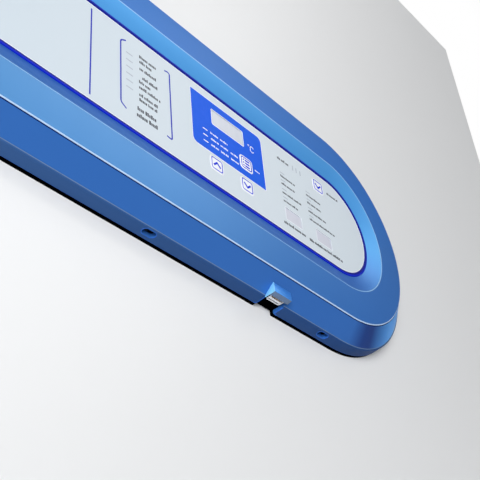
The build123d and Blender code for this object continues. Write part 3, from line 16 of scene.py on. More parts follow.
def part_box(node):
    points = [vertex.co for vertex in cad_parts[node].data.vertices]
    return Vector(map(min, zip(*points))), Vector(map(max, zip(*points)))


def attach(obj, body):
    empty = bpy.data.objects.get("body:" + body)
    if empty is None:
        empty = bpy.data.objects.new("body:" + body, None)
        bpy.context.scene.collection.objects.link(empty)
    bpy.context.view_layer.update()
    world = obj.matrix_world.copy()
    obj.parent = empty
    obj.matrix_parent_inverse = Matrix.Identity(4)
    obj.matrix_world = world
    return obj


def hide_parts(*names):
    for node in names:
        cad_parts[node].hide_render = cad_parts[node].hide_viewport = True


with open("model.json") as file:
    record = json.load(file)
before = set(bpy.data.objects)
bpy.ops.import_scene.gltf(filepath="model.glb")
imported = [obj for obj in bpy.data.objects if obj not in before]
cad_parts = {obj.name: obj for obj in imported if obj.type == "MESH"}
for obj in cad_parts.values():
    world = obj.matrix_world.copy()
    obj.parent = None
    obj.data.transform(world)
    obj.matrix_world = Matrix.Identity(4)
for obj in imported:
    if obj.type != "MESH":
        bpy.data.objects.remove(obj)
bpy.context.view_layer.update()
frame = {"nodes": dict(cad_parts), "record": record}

nodes = frame["nodes"]
MM = 0.001

# Camera: close below the console and to its left, looking up to the right
LENS = 72.42
CAMERA_AT = Vector((-0.32161, -0.76143, 0.97475))
CAMERA_RIGHT = Vector((0.65181, -0.75447, -0.07693))
CAMERA_UP = Vector((-0.41387, -0.43888, 0.79755))

camera_data = bpy.data.cameras.new("photo_camera")
camera_data.sensor_width = 36.0
camera_data.lens = LENS
camera_data.clip_start = 0.01
camera = bpy.data.objects.new("photo_camera", camera_data)
bpy.context.scene.collection.objects.link(camera)
camera_turn = Matrix((CAMERA_RIGHT, CAMERA_UP, CAMERA_RIGHT.cross(CAMERA_UP))).transposed()
camera.matrix_world = Matrix.Translation(CAMERA_AT) @ camera_turn.to_4x4()
bpy.context.scene.camera = camera


# Shader maths
class Wire:
    """One output of a shader node. Sums, products and the like of it add Math nodes."""

    def __init__(self, maker, socket):
        self.maker, self.socket = maker, socket

    def maths(self, operation, first, second=0.0):
        return self.maker.node("ShaderNodeMath", {"operation": operation}, {0: first, 1: second})

    def __add__(self, other):
        return self.maths("ADD", self, other)

    def __sub__(self, other):
        return self.maths("SUBTRACT", self, other)

    def __mul__(self, other):
        return self.maths("MULTIPLY", self, other)

    def __truediv__(self, other):
        return self.maths("DIVIDE", self, other)

    def __rsub__(self, other):
        return self.maths("SUBTRACT", other, self)

    def __rtruediv__(self, other):
        return self.maths("DIVIDE", other, self)

    __radd__, __rmul__ = __add__, __mul__

    def __abs__(self):
        return self.maths("ABSOLUTE", self)

    def clamped(self):
        return self.maths("MINIMUM", self.maths("MAXIMUM", self, 0.0), 1.0)

    def above(self, level):
        return self.maths("GREATER_THAN", self, level)


class NodeTree:
    """The nodes of a material or of the room."""

    def __init__(self, tree):
        self.tree = tree

    def node(self, kind, settings=None, inputs=None, output=0):
        made = self.tree.nodes.new(kind)
        for key, value in (settings or {}).items():
            if key == "stops":
                ramp = made.color_ramp.elements
                for at, colour in value[2:]:
                    ramp.new(at)
                for stop, (at, colour) in zip(ramp, value):
                    stop.position, stop.color = at, (*colour, 1)
            else:
                setattr(made, key, value)
        for key, value in (inputs or {}).items():
            self.feed(made.inputs[key], value)
        return Wire(self, made.outputs[output])

    def feed(self, socket, value):
        if isinstance(value, Wire):
            self.tree.links.new(value.socket, socket)
        elif hasattr(value, "__len__") and len(value) == 3 and len(socket.default_value) == 4:
            socket.default_value = (*value, 1)
        else:
            socket.default_value = value


class Finish(NodeTree):
    """A material in the making, with its shader and the surface's place."""

    def __init__(self, name, **constants):
        self.material = bpy.data.materials.new(name)
        self.material.use_nodes = True
        super().__init__(self.material.node_tree)
        self.shader = self.tree.nodes["Principled BSDF"]
        self.place = self.node("ShaderNodeTexCoord", output="Object")
        self.set(**constants)

    def set(self, **sockets):
        for key, value in sockets.items():
            self.feed(self.shader.inputs[key.replace("_", " ").title().replace("Ior", "IOR")], value)
        return self

    def stretched(self, x, y, z):
        """The surface's place with its axes scaled, for grain that runs one way."""
        return self.node("ShaderNodeVectorMath", {"operation": "MULTIPLY"}, {0: self.place, 1: (x, y, z)})

    def noise(self, size, detail=3.0, roughness=0.5, place=None):
        """Noise with features of about that size in metres, from 0 to 1."""
        return self.node("ShaderNodeTexNoise", {"noise_dimensions": "3D"},
                         {"Vector": place or self.place, "Scale": 1 / size, "Detail": detail,
                          "Roughness": roughness})

    def cells(self, size):
        """Distance within cells of about that size in metres."""
        return self.node("ShaderNodeTexVoronoi", inputs={"Vector": self.place, "Scale": 1 / size},
                         output="Distance")

    def blend(self, mask, first, second):
        return self.node("ShaderNodeMix", {"data_type": "RGBA"}, {0: mask, 6: first, 7: second}, 2)

    def axis(self, name):
        return self.node("ShaderNodeSeparateXYZ", inputs={0: self.place}, output=name)

    def across(self, left, right, start, end):
        """From the left colour to the right one, between two places in metres: painted light that changes
        along the console.
        """
        return self.blend(((self.axis("X") - start) / (end - start)).clamped(), left, right)

    def relief(self, height, depth, strength=1.0):
        """Bump of that depth in metres, from a height between 0 and 1."""
        self.set(Normal=self.node("ShaderNodeBump", inputs={"Height": height, "Distance": depth,
                                                            "Strength": strength}))
        return self


def shade(red, green, blue):
    """A colour as a paint chart gives it, 0 to 255, in the renderer's own scale."""
    return tuple((c / 255 / 12.92) if c <= 10 else ((c / 255 + 0.055) / 1.055) ** 2.4
                 for c in (red, green, blue))


def colour_times(colour, factor):
    return tuple(c * factor for c in colour)


def sheet_paint(name, colour, peel_size, roughness):
    """Powder coat: fine orange peel, slow changes of gloss and a trace of dust low down."""
    paint = Finish(name, coat_weight=0.15, coat_roughness=0.25)
    cloud = paint.noise(0.35, 2)
    dust = (1 - paint.axis("Z") / 0.35).clamped() * paint.noise(0.02, 4)
    tone = paint.blend(cloud, colour, colour_times(colour, 0.975))
    paint.set(base_color=paint.blend(dust * 0.35, tone, shade(168, 162, 150)),
              roughness=cloud * 0.08 + paint.noise(0.006) * 0.05 + (roughness - 0.06) + dust * 0.2)
    return paint.relief(paint.noise(peel_size, 2), 0.00002, 0.35)


def moulded(name, colour, grain_size, roughness, depth=0.00003, flow=0.05, **constants):
    """Moulded plastic: fine eroded grain, faint flow marks and handling gloss."""
    plastic = Finish(name, **constants)
    flow_marks = plastic.noise(0.09, 2)
    grain = plastic.noise(grain_size, 3, 0.6)
    plastic.set(base_color=plastic.blend(flow_marks, colour, colour_times(colour, 1 - flow)),
                roughness=grain * 0.1 + plastic.noise(0.03) * 0.08 + (roughness - 0.09))
    return plastic.relief(grain, depth, 0.3)


def painted_light_ring(name, middle):
    """Console moulding with less gloss above its middle line than below it, and painted light in its blue:
    the blue changes from left to right with the fall of the light, and above the middle line a paler blue
    stands in for the light on the top.
    """
    plastic = moulded(name, shade(50, 99, 162), 0.0004, 0.34, 0.00001, 0.03, **BLUE_GLOSS)
    # Painted light: below the middle line the blue grows brighter towards the right end.
    plastic.set(base_color=plastic.across(shade(50, 99, 162), shade(51, 107, 187), -0.2, 0.2))
    # Above the middle line: less gloss, and a paler painted blue that stands in for the light there, darker
    # towards the right end.
    above = ((plastic.axis("Z") - middle) / 0.05).clamped()
    dull = plastic.node("ShaderNodeBsdfPrincipled", inputs={
        "Base Color": plastic.across(shade(50, 120, 199), shade(44, 108, 188), -0.2, 0.2),
        "Roughness": plastic.noise(0.0004, 3, 0.6) * 0.1 + 0.3,
        "Specular IOR Level": LOW_GLOSS["specular_ior_level"], "Specular Tint": LOW_GLOSS["specular_tint"]})
    skin = plastic.node("ShaderNodeMixShader",
                        inputs={0: above, 1: Wire(plastic, plastic.shader.outputs[0]), 2: dull})
    plastic.feed(plastic.tree.nodes["Material Output"].inputs["Surface"], skin)
    return plastic


def moulding_painted_by_facing(name, reading, stops, roughness):
    """Moulded plastic with painted light and shade: its blue changes with where it faces. reading() puts
    that on the stops' scale.
    """
    plastic = Finish(name, **BLUE_GLOSS)
    facing = plastic.node("ShaderNodeTexCoord", output="Normal")
    across, up = (plastic.node("ShaderNodeSeparateXYZ", inputs={0: facing}, output=axis) for axis in "XZ")
    # Painted light and shade, chosen by where the surface faces.
    tone = plastic.node("ShaderNodeValToRGB", {"stops": stops}, {"Fac": reading(across, up)})
    grain = plastic.noise(0.0004, 3, 0.6)
    plastic.set(base_color=plastic.blend(plastic.noise(0.09, 2) * 0.1, tone, colour_times(stops[0][1], 0.9)),
                roughness=grain * 0.1 + (roughness - 0.05))
    return plastic.relief(grain, 0.00001, 0.3)


def printed(name, colour, roughness=0.42, gloss=0.15):
    """Screen printed ink or film: even, with a slight mesh and mottle."""
    ink = Finish(name, specular_ior_level=gloss)
    mottle = ink.noise(0.004, 3)
    ink.set(base_color=ink.blend(mottle, colour, colour_times(colour, 0.93)),
            roughness=mottle * 0.12 + (roughness - 0.06))
    return ink.relief(ink.noise(0.0004, 2), 0.00001, 0.25)


def brushed(name, colour, along=(1, 30, 30), roughness=0.3):
    """Brushed sheet: long fine scratches along one axis, with cloudy handling marks."""
    steel = Finish(name, metallic=1.0)
    scratches = steel.noise(0.012, 4, 0.7, place=steel.stretched(*along))
    marks = steel.noise(0.12, 4)
    steel.set(base_color=steel.blend(scratches, colour_times(colour, 0.86), colour),
              roughness=scratches * 0.14 + marks * 0.12 + (roughness - 0.13))
    return steel.relief(scratches, 0.00002, 0.25)


def zinc_plate(name, colour):
    """Bright zinc: soft spangle in the gloss and a faint bloom."""
    zinc = Finish(name, metallic=1.0)
    spangle = zinc.cells(0.007)
    bloom = zinc.noise(0.03, 5)
    zinc.set(base_color=zinc.blend(bloom, colour, colour_times(colour, 0.78)),
             roughness=spangle * 0.2 + bloom * 0.2 + 0.2)
    return zinc.relief(bloom, 0.00003, 0.3)


def drawn_copper(name, colour):
    """Drawn tube: warm metal that has dulled in patches."""
    copper = Finish(name, metallic=1.0)
    tarnish = copper.noise(0.02, 5, 0.65)
    copper.set(base_color=copper.blend(tarnish, colour, colour_times(colour, 0.45)), roughness=tarnish * 0.4 + 0.18)
    return copper.relief(copper.noise(0.002), 0.00003, 0.3)


def fin_stock(name, colour):
    """Thin aluminium: rolling lines and grey dust between the fins."""
    fins = Finish(name, metallic=1.0)
    lines = fins.noise(0.004, 3, place=fins.stretched(1, 1, 12))
    dust = fins.noise(0.03, 4)
    fins.set(base_color=fins.blend(dust * 0.6, colour, shade(120, 118, 112)),
             roughness=lines * 0.2 + dust * 0.25 + 0.25)
    return fins.relief(lines, 0.00003, 0.4)


def enamel(name, colour):
    """Black stove enamel: glossy orange peel, with dust settled on top."""
    black = Finish(name, coat_weight=0.4, coat_roughness=0.1)
    facing = black.node("ShaderNodeNewGeometry", output="Normal")
    upward = black.node("ShaderNodeSeparateXYZ", inputs={0: facing}, output="Z")
    dust = (upward * 0.6).clamped() * black.noise(0.01, 5)
    black.set(base_color=black.blend(dust, colour, shade(130, 125, 118)), roughness=dust * 0.5 + 0.28)
    return black.relief(black.noise(0.003, 2), 0.00008, 0.4)


def rubber(name, colour, grain_size=0.0008, roughness=0.8, depth=0.0001, gloss=0.5):
    """Rubber or closed cell foam: matt, pitted, with a grey bloom."""
    soft = Finish(name, specular_ior_level=gloss)
    pits = soft.cells(grain_size)
    bloom = soft.noise(0.02, 4)
    soft.set(base_color=soft.blend(bloom * 0.5, colour, tuple(c * 0.8 + 0.02 * gloss for c in colour)),
             roughness=bloom * 0.15 + (roughness - 0.08))
    return soft.relief(pits, depth, 0.5)


def filter_mat(name, colour):
    """Open filter mat: tangled fibres with their pores painted dark as shade, grey where dust has caught."""
    mat = Finish(name)
    pores = mat.cells(0.0035)
    dust = mat.noise(0.05, 4)
    threads = mat.blend(dust * 0.6, colour, shade(110, 108, 104))
    # The pores are painted dark: painted shade.
    mat.set(base_color=mat.blend((pores * 1.6).clamped(), threads, colour_times(colour, 0.2)),
            roughness=dust * 0.1 + 0.85)
    return mat.relief(1 - pores, 0.001, 0.8)


def poured_foam(name, colour):
    """Poured insulation: cream, with closed bubbles and darker skin in places."""
    cream = Finish(name)
    bubbles = cream.cells(0.003)
    skin = cream.noise(0.06, 4)
    cream.set(base_color=cream.blend(skin, colour, shade(196, 166, 104)), roughness=bubbles * 0.1 + 0.8)
    return cream.relief(bubbles, 0.0006, 0.5)


def circuit_board(name, colour):
    """Lacquered board: darker ground with lighter tracks in a fine grid."""
    board = Finish(name, coat_weight=0.6, coat_roughness=0.1)
    tracks = board.node("ShaderNodeTexBrick", {"offset": 0.5},
                        {"Vector": board.place, "Scale": 160.0, "Mortar Size": 0.03}, "Fac")
    grime = board.noise(0.01, 3)
    board.set(base_color=board.blend(tracks, colour, colour_times(colour, 1.9)), roughness=grime * 0.15 + 0.3)
    return board.relief(tracks, 0.0001, 0.5)


def window_film():
    """Tinted windows over unlit displays: pale lilac, faintly banded, the two small ones paler."""
    pane = Finish("display_window_film", coat_weight=0.15, coat_roughness=0.3, specular_ior_level=0.2)
    bands = pane.noise(0.004, 2, place=pane.stretched(1, 1, 0.15))
    small = pane.axis("X").above(SMALL_WINDOWS_FROM)
    pane.set(base_color=pane.blend(bands, pane.blend(small, shade(194, 200, 214), shade(208, 211, 224)),
                                   pane.blend(small, shade(206, 210, 219), shade(214, 216, 228))),
             roughness=pane.noise(0.002) * 0.06 + 0.2)
    return pane.relief(bands, 0.00001, 0.2)


film_low, film_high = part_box("membrane_panel")
CONSOLE_Z = (film_low.z + film_high.z) / 2
SMALL_WINDOWS_FROM = 0.11
BLUE_GLOSS = dict(specular_tint=(0.18, 0.85, 1.0), specular_ior_level=0.75, metallic=0.14)
LOW_GLOSS = dict(specular_tint=(0.1, 0.3, 1.0), specular_ior_level=0.12)
# WALL_PAINTED_SHADE is the painted shade where the sloped wall starts to turn round the ends.
WALL_BLUE, WALL_PAINTED_SHADE = shade(50, 98, 176), shade(20, 44, 124)
finish = {
    "cabinet_paint": sheet_paint("cabinet_powder_coat", shade(214, 217, 220), 0.0011, 0.5),
    "door_paint": sheet_paint("door_powder_coat", shade(232, 233, 234), 0.0009, 0.46),
    "stainless": brushed("brushed_stainless", shade(198, 199, 202)),
    "foam": poured_foam("poured_insulation", shade(232, 214, 160)),
    "frame_plastic": moulded("breaker_frame_plastic", shade(222, 224, 225), 0.0006, 0.5),
    "copper": drawn_copper("drawn_copper", shade(214, 138, 96)),
    "black_steel": enamel("black_enamel", shade(20, 20, 22)),
    "zinc_steel": zinc_plate("zinc_plate", shade(190, 193, 198)),
    "aluminium": fin_stock("fin_stock", shade(208, 210, 212)),
    "black_plastic": moulded("black_moulding", shade(26, 27, 30), 0.0005, 0.5),
    "black_rubber": rubber("console_foam_seal", shade(2, 2, 3), 0.0005, 0.9, 0.00005, 0.0),
    "wheel_rubber": rubber("wheel_tread", shade(62, 62, 66), 0.0012, 0.7),
    "filter_foam": filter_mat("filter_mat", shade(54, 55, 58)),
    "gasket_rubber": rubber("door_seal", shade(176, 178, 180), 0.001, 0.6, 0.00005),
    "handle_plastic": moulded("handle_moulding", shade(58, 61, 68), 0.0005, 0.42),
    "console_blue": painted_light_ring("console_ring_blue_painted_light", CONSOLE_Z),
    "trim_blue": moulded("trim_royal_blue", shade(14, 36, 190), 0.0005, 0.5, 0.000005, 0.04, **LOW_GLOSS),
    "membrane": printed("membrane_film", shade(215, 226, 234)),
    "window_film": window_film(),
    "key_film": printed("key_film", shade(244, 247, 252), 0.35),
    "board_green": circuit_board("lacquered_board", shade(24, 92, 52)),
}
finish["rear_paint"] = sheet_paint("rear_panel_coat", shade(178, 182, 186), 0.0014, 0.55)
# Inner bevel with painted light: darker along the bottom, where it faces up, and paler along the top, where
# it faces down.
finish["painted_bevel_light"] = moulding_painted_by_facing(
    "bevel_light_and_shade_paint", lambda across, up: 0.5 - up * 1.6,
    ((0.0, shade(36, 96, 188)), (0.25, shade(50, 112, 194)), (0.5, shade(66, 136, 204)),
     (1.0, shade(74, 148, 216))), 0.36)
# Sloped wall with painted light: a painted dark band where it starts to turn round each end, and a painted
# highlight where it faces sideways at the ends.
finish["painted_wall_light"] = moulding_painted_by_facing(
    "wall_light_and_shade_paint", lambda across, up: abs(across),
    ((0.0, WALL_BLUE), (0.05, WALL_BLUE), (0.16, WALL_PAINTED_SHADE), (0.23, WALL_PAINTED_SHADE),
     (0.44, shade(76, 160, 246))), 0.39)
for key, name, tone, grain, roughness, depth, flow, gloss in (
        ("trim_navy", "trim_navy_line", (4, 12, 132), 0.0005, 0.5, 0.000005, 0.05, LOW_GLOSS),
        # Painted highlight along the crest between the bevel and the ring.
        ("console_crest", "console_crest_line", (132, 182, 226), 0.0005, 0.4, 0.000005, 0.03, {}),
        # Painted highlight along the rounded outer edge of the ring.
        ("painted_edge_highlight", "console_pale_edge", (176, 202, 234), 0.0005, 0.3, 0.000005, 0.03, {}),
        # Painted shade in the fine groove under the edge.
        ("painted_groove_shade", "console_dark_groove", (6, 26, 100), 0.0005, 0.6, 0.000005, 0.05, LOW_GLOSS),
        # Painted highlight on the small step above the flange; the same finish is the painted shade under
        # the hood.
        ("console_step", "console_step_line", (92, 118, 154), 0.0005, 0.5, 0.000005, 0.05, {}),
        # Painted shade on the underside of the flange; below, its blue is painted lighter at the left and
        # darker at the right.
        ("painted_rim_shade", "console_blue_rim", (38, 82, 140), 0.0004, 0.6, 0.00001, 0.03, LOW_GLOSS),
        # Painted highlight on the lips round the slots and the notch and along the back edge of the flange.
        ("console_lip", "console_lip_line", (44, 98, 190), 0.0004, 0.45, 0.00001, 0.03, LOW_GLOSS),
        ("painted_cheek_highlight", "console_bright_cheek", (132, 206, 255), 0.0004, 0.35, 0.00001, 0.03, {}),
        # The hood, painted a lighter blue than the wall as a highlight.
        ("painted_hood_highlight", "console_bright_blue", (64, 136, 226), 0.0004, 0.35, 0.00001, 0.03, BLUE_GLOSS),
        ("socket_tongue", "socket_tongue_white", (240, 242, 246), 0.0004, 0.5, 0.00003, 0.05, {})):
    finish[key] = moulded(name, shade(*tone), grain, roughness, depth, flow, **gloss)
finish["socket_nickel"] = brushed("socket_nickel", shade(244, 245, 248), (30, 1, 30)).set(metallic=0.35)
finish["contact_gilt"] = brushed("contact_gilt", shade(226, 178, 92), (1, 1, 30), 0.25)
# Painted light along the console: the film painted darker at the left end, and the underside of the flange
# painted lighter at the left and darker at the right.
for key, left, right, start, end in (
        ("membrane", shade(196, 209, 219), shade(211, 221, 229), -0.25, 0.1),
        ("painted_rim_shade", shade(62, 98, 150), shade(34, 66, 118), -0.28, 0.22)):
    finish[key].set(base_color=finish[key].across(left, right, start, end))
ink = {
    "field": printed("ink_field_blue", shade(18, 94, 230), gloss=0.05),
    "line": printed("ink_line_blue", shade(28, 46, 180), gloss=0.08),
    "word": printed("ink_dark_grey", shade(64, 68, 78)),
    "dash": printed("ink_pale_grey", shade(176, 184, 198)),
    "white": printed("ink_white", shade(240, 244, 252)),
    "icon": printed("ink_icon_blue", shade(8, 48, 214), gloss=0.05),
}

for part in frame["record"]["subparts"]:
    node = nodes[part["node"]]
    node.data.materials.clear()
    tone = "rear_paint" if part["node"] == "cabinet_rear_panel" else part["material_slot"]
    node.data.materials.append(finish[tone].material)


# Making pieces
def add_piece(name, mesh, body, slot, *materials):
    """Object for a finished mesh: its materials, the body that carries it and its slot, which is not used.
    """
    for material in materials:
        mesh.materials.append(material.material)
    piece = bpy.data.objects.new(name, mesh)
    bpy.context.scene.collection.objects.link(piece)
    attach(piece, body)
    return piece


def to_mesh(name, shape, crease=30):
    """Mesh from a bmesh, smooth except where it turns by more than crease degrees."""
    bmesh.ops.recalc_face_normals(shape, faces=shape.faces)
    mesh = bpy.data.meshes.new(name)
    shape.to_mesh(mesh)
    shape.free()
    mesh.shade_smooth()
    mesh.set_sharp_from_angle(angle=radians(crease))
    return mesh


def add_shape(name, shape, body, slot, *materials, crease=30):
    """Piece made from a bmesh."""
    return add_piece(name, to_mesh(name, shape, crease), body, slot, *materials)


def drawn(name, curve):
    """Mesh of a curve, as its bevel or fill makes it."""
    drawing = bpy.data.objects.new(name + "_drawing", curve)
    bpy.context.scene.collection.objects.link(drawing)
    mesh = bpy.data.meshes.new_from_object(drawing.evaluated_get(bpy.context.evaluated_depsgraph_get()))
    bpy.data.objects.remove(drawing)
    mesh.name = name
    return mesh


def settled(piece):
    """Apply the piece's modifiers to its mesh."""
    mesh = bpy.data.meshes.new_from_object(piece.evaluated_get(bpy.context.evaluated_depsgraph_get()))
    piece.modifiers.clear()
    piece.data = mesh


def soften(corners, steps=5, closed=True):
    """Round the corners of an outline: (u, v) stays sharp, (u, v, radius) is rounded."""
    outline = []
    for k, corner in enumerate(corners):
        here = Vector(corner[:2])
        inner = closed or 0 < k < len(corners) - 1
        if len(corner) < 3 or not inner:
            outline.append(here)
            continue
        before = (Vector(corners[k - 1][:2]) - here).normalized()
        after = (Vector(corners[(k + 1) % len(corners)][:2]) - here).normalized()
        half = before.angle(after) / 2
        reach = corner[2] / tan(half)
        centre = here + (before + after).normalized() * (corner[2] / sin(half))
        start, end = here + before * reach - centre, here + after * reach - centre
        sweep = start.angle_signed(end)
        outline += [centre + Matrix.Rotation(-sweep * s / steps, 2) @ start for s in range(steps + 1)]
    return outline


# Console: the face of the membrane and its rounded ends give the layout
FILM_Y = film_low.y
PANEL_R = (film_high.z - film_low.z) / 2 / MM
END_X = film_high.x / MM - PANEL_R
END_STEPS = 72


def console_point(x, z, p):
    return Vector((x * MM, FILM_Y - p * MM, CONSOLE_Z + z * MM))


def run_round(section, tints=None):
    """Carry a closed section of (r, p) points along the console and round both of its ends."""
    shape = bmesh.new()
    stations = [(way * END_X, radians(start + 180 * k / END_STEPS))
                for way, start in ((1, -90), (-1, 90)) for k in range(END_STEPS + 1)]
    loops = [[shape.verts.new(console_point(x + r * cos(turn), r * sin(turn), p)) for r, p in section]
             for x, turn in stations]
    for k, loop in enumerate(loops):
        following = loops[(k + 1) % len(loops)]
        for j in range(len(section)):
            after = (j + 1) % len(section)
            face = shape.faces.new((loop[j], loop[after], following[after], following[j]))
            face.material_index = tints(section[j], section[after]) if tints else 0
    return shape


def prism(outline, place, depth):
    """Closed solid from an outline, each of whose points place() puts, pushed along depth."""
    shape = bmesh.new()
    near = [shape.verts.new(place(u, v)) for u, v in outline]
    far = [shape.verts.new(vert.co + depth) for vert in near]
    shape.faces.new(near)
    shape.faces.new(far[::-1])
    for k in range(len(near)):
        after = (k + 1) % len(near)
        shape.faces.new((near[k], near[after], far[after], far[k]))
    return shape


def rounded_box(w, h, r):
    """Corners of an upright rectangle about the origin, all rounded alike."""
    return [(u * w / 2, v * h / 2, r) for u, v in ((-1, -1), (1, -1), (1, 1), (-1, 1))]


def cut_out(piece, cutters):
    """Cut solids out of a piece."""
    for cutter in cutters:
        tool = bpy.data.objects.new("cutter", to_mesh("cutter", cutter))
        bpy.context.scene.collection.objects.link(tool)
        cut = piece.modifiers.new("cut", "BOOLEAN")
        cut.operation, cut.solver, cut.object = "DIFFERENCE", "EXACT", tool
        settled(piece)
        bpy.data.objects.remove(tool)
    piece.data.set_sharp_from_angle(angle=radians(30))


# Housing: crest, ring, grooved edge, sloped wall and stepped flange
HOUSING_R0 = 38.0
WALL_RUN = Vector((0.7543, -0.6566))
WALL_IN = Vector((-0.6566, -0.7543))
CREST, EDGE = Vector((59.14, 4.35)), Vector((85.44, 3.54))
GROOVE_AT, GROOVE_W, GROOVE_DEPTH = 0.75, 0.7, 0.55
groove = [EDGE + WALL_RUN * GROOVE_AT, EDGE + WALL_RUN * GROOVE_AT + WALL_IN * GROOVE_DEPTH,
          EDGE + WALL_RUN * (GROOVE_AT + GROOVE_W) + WALL_IN * GROOVE_DEPTH,
          EDGE + WALL_RUN * (GROOVE_AT + GROOVE_W)]
FLANGE_TOP_R, FLANGE_TOP = 100.7, -9.2
FLANGE_R, FLANGE_BACK = 101.66, -18.07
housing_section = soften([
    (HOUSING_R0, -2.0), (45.16, -2.0), (45.16, 0.0, 0.25), (*CREST, 2.2), (*EDGE, 0.65),
    *[(*point,) for point in groove], (99.5, -8.7, 0.35), (99.95, -8.89), (FLANGE_TOP_R, FLANGE_TOP, 0.45),
    (FLANGE_R, FLANGE_BACK, 0.4), (98.66, FLANGE_BACK), (97.3, -11.0), (84.24, 0.44),
    (59.64, 1.25), (47.16, -4.6), (HOUSING_R0, -4.6)])

# Past the first, the housing's strips carry painted light: highlights on the edge, crest, step and lips,
# shade in the groove and under the flange, and light and shade on the bevel and wall by where they face.
HOUSING_TINTS = ("console_blue", "painted_edge_highlight", "painted_groove_shade", "console_crest", "painted_bevel_light",
                 "console_step", "console_lip", "painted_rim_shade", "painted_wall_light")


def housing_tint(first, second):
    """Number of the finish for a strip of the housing's section. The limits fall between its corners."""
    r, p = (first[0] + second[0]) / 2, (first[1] + second[1]) / 2
    from_edge, from_crest = (Vector((r, p)) - EDGE).length, (Vector((r, p)) - CREST).length
    takes = {
        "painted_edge_highlight": from_edge < 0.5 and first[0] > 84.6,
        "painted_groove_shade": r > EDGE.x and from_edge < GROOVE_AT + GROOVE_W + 0.1 and p < EDGE.y,
        "console_crest": from_crest < 0.45,
        "painted_bevel_light": p > -0.2 and 45 < r < CREST.x,
        "console_step": 99.2 < r < 99.9 and p > -9.5,
        "console_lip": r > 101 and p < -17.4,
        "painted_rim_shade": r > 99.9 and p < -8.8,
        "painted_wall_light": r > EDGE.x and p > -8.6}
    return next((HOUSING_TINTS.index(tint) for tint, taken in takes.items() if taken), 0)


SLOT_XS, SLOT_P, SLOT_W, SLOT_H = (-169.3, 0.0, 169.3), -12.6, 10.2, 4.9
NOTCH_X0, NOTCH_X1 = 103.1, 121.8
HOOD_BACK_P = -5.6


def slot_outline(x, grow=0.0):
    w, h = SLOT_W + 2 * grow, SLOT_H + 2 * grow
    return [(x + u, SLOT_P + v) for u, v in soften(rounded_box(w, h, h / 2 - 0.01), 10)]


def under_flange(x, p):
    """Point on the underside of the flange, where the slots are."""
    return console_point(x, -FLANGE_R - 1.0, p)


housing = add_shape("console_shell", run_round(housing_section, housing_tint), "outer_door", "console_blue",
                    *[finish[tint] for tint in HOUSING_TINTS])
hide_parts("console_housing")
UP = Vector((0, 0, MM))
NOTCH_P0, NOTCH_H, SLOT_DEPTH = -24.0, 17, 6


def notch(front):
    """Solid that cuts the notch, from behind the flange up to p = front."""
    return prism([(NOTCH_X0, front), (NOTCH_X1, front), (NOTCH_X1, NOTCH_P0), (NOTCH_X0, NOTCH_P0)],
                 under_flange, UP * NOTCH_H)


slots = [prism(slot_outline(x), under_flange, UP * SLOT_DEPTH) for x in SLOT_XS]
cut_out(housing, slots + [notch(HOOD_BACK_P)])


HOOD_TOP_R, HOOD_MOUTH_P = 94, -2


def lean(shape, top, mouth):
    """Shift a form of the hood sideways by millimetres: its top edge and the front edge of its mouth."""
    for vert in shape.verts:
        r, p = (CONSOLE_Z - vert.co.z) / MM, (FILM_Y - vert.co.y) / MM
        vert.co.x += (top if r < HOOD_TOP_R else mouth if p > HOOD_MOUTH_P else 0) * MM


def hood_form(outline, x0, x1, top, mouth, round_by, steps):
    """Solid from an (r, p) outline between two places along the console, leant and with rounded edges."""
    shape = prism(outline, lambda r, p: console_point(x0, -r, p), Vector((x1 - x0, 0, 0)) * MM)
    lean(shape, top, mouth)
    bmesh.ops.bevel(shape, geom=shape.edges[:], offset=round_by * MM, segments=steps, affect="EDGES",
                    profile=0.5)
    return shape


# Hood over the notch: a small box that grows out of the wall. Its blue is painted lighter than the wall's as
# a highlight, its underside is painted as shade, and a thin cheek carries a painted highlight on its left
# face.
CHEEK_T = 0.9
UNDERSIDE = -0.7
hood = hood_form([(92.1, -2.3), (100.7, -0.55), (100.7, HOOD_BACK_P), (95.4, HOOD_BACK_P), (92.9, -4.6)],
                 NOTCH_X0, NOTCH_X1 - 0.4, 1.1, -1.2, 0.3, 3)
# The faces that turn down take the painted shade of the hood's underside.
for face in hood.faces:
    face.material_index = int(face.normal.z < UNDERSIDE)
add_shape("socket_hood", hood, "outer_door", "console_blue", finish["painted_hood_highlight"], finish["console_step"],
          crease=60)
# A thin bright slab on the hood's left face: a painted highlight.
cheek = hood_form([(91.9, -2.2), (100.75, -0.5), (100.75, -9.3), (99.4, -8.8)],
                  NOTCH_X0 - CHEEK_T / 2, NOTCH_X0 + CHEEK_T / 2, 1.3, -1.0, 0.12, 2)
add_shape("hood_side_highlight_paint", cheek, "outer_door", "console_blue", finish["painted_cheek_highlight"], crease=60)

# Black pocket behind the notch, and the lips of the notch and slots
POCKET_X0, POCKET_X1, POCKET_TOP, POCKET_LOW = NOTCH_X0 - 3, NOTCH_X1 + 2.6, -84.0, -98.4
POCKET_BACK_P, POCKET_T = -19.9, 6.4
pocket = prism([(POCKET_X0, POCKET_TOP), (POCKET_X0, POCKET_LOW),
                (POCKET_X1, POCKET_LOW), (POCKET_X1, POCKET_TOP)],
               lambda x, z: console_point(x, z, POCKET_BACK_P), Vector((0, -POCKET_T * MM, 0)))
add_shape("notch_pocket", pocket, "outer_door", "black_rubber", finish["black_rubber"])


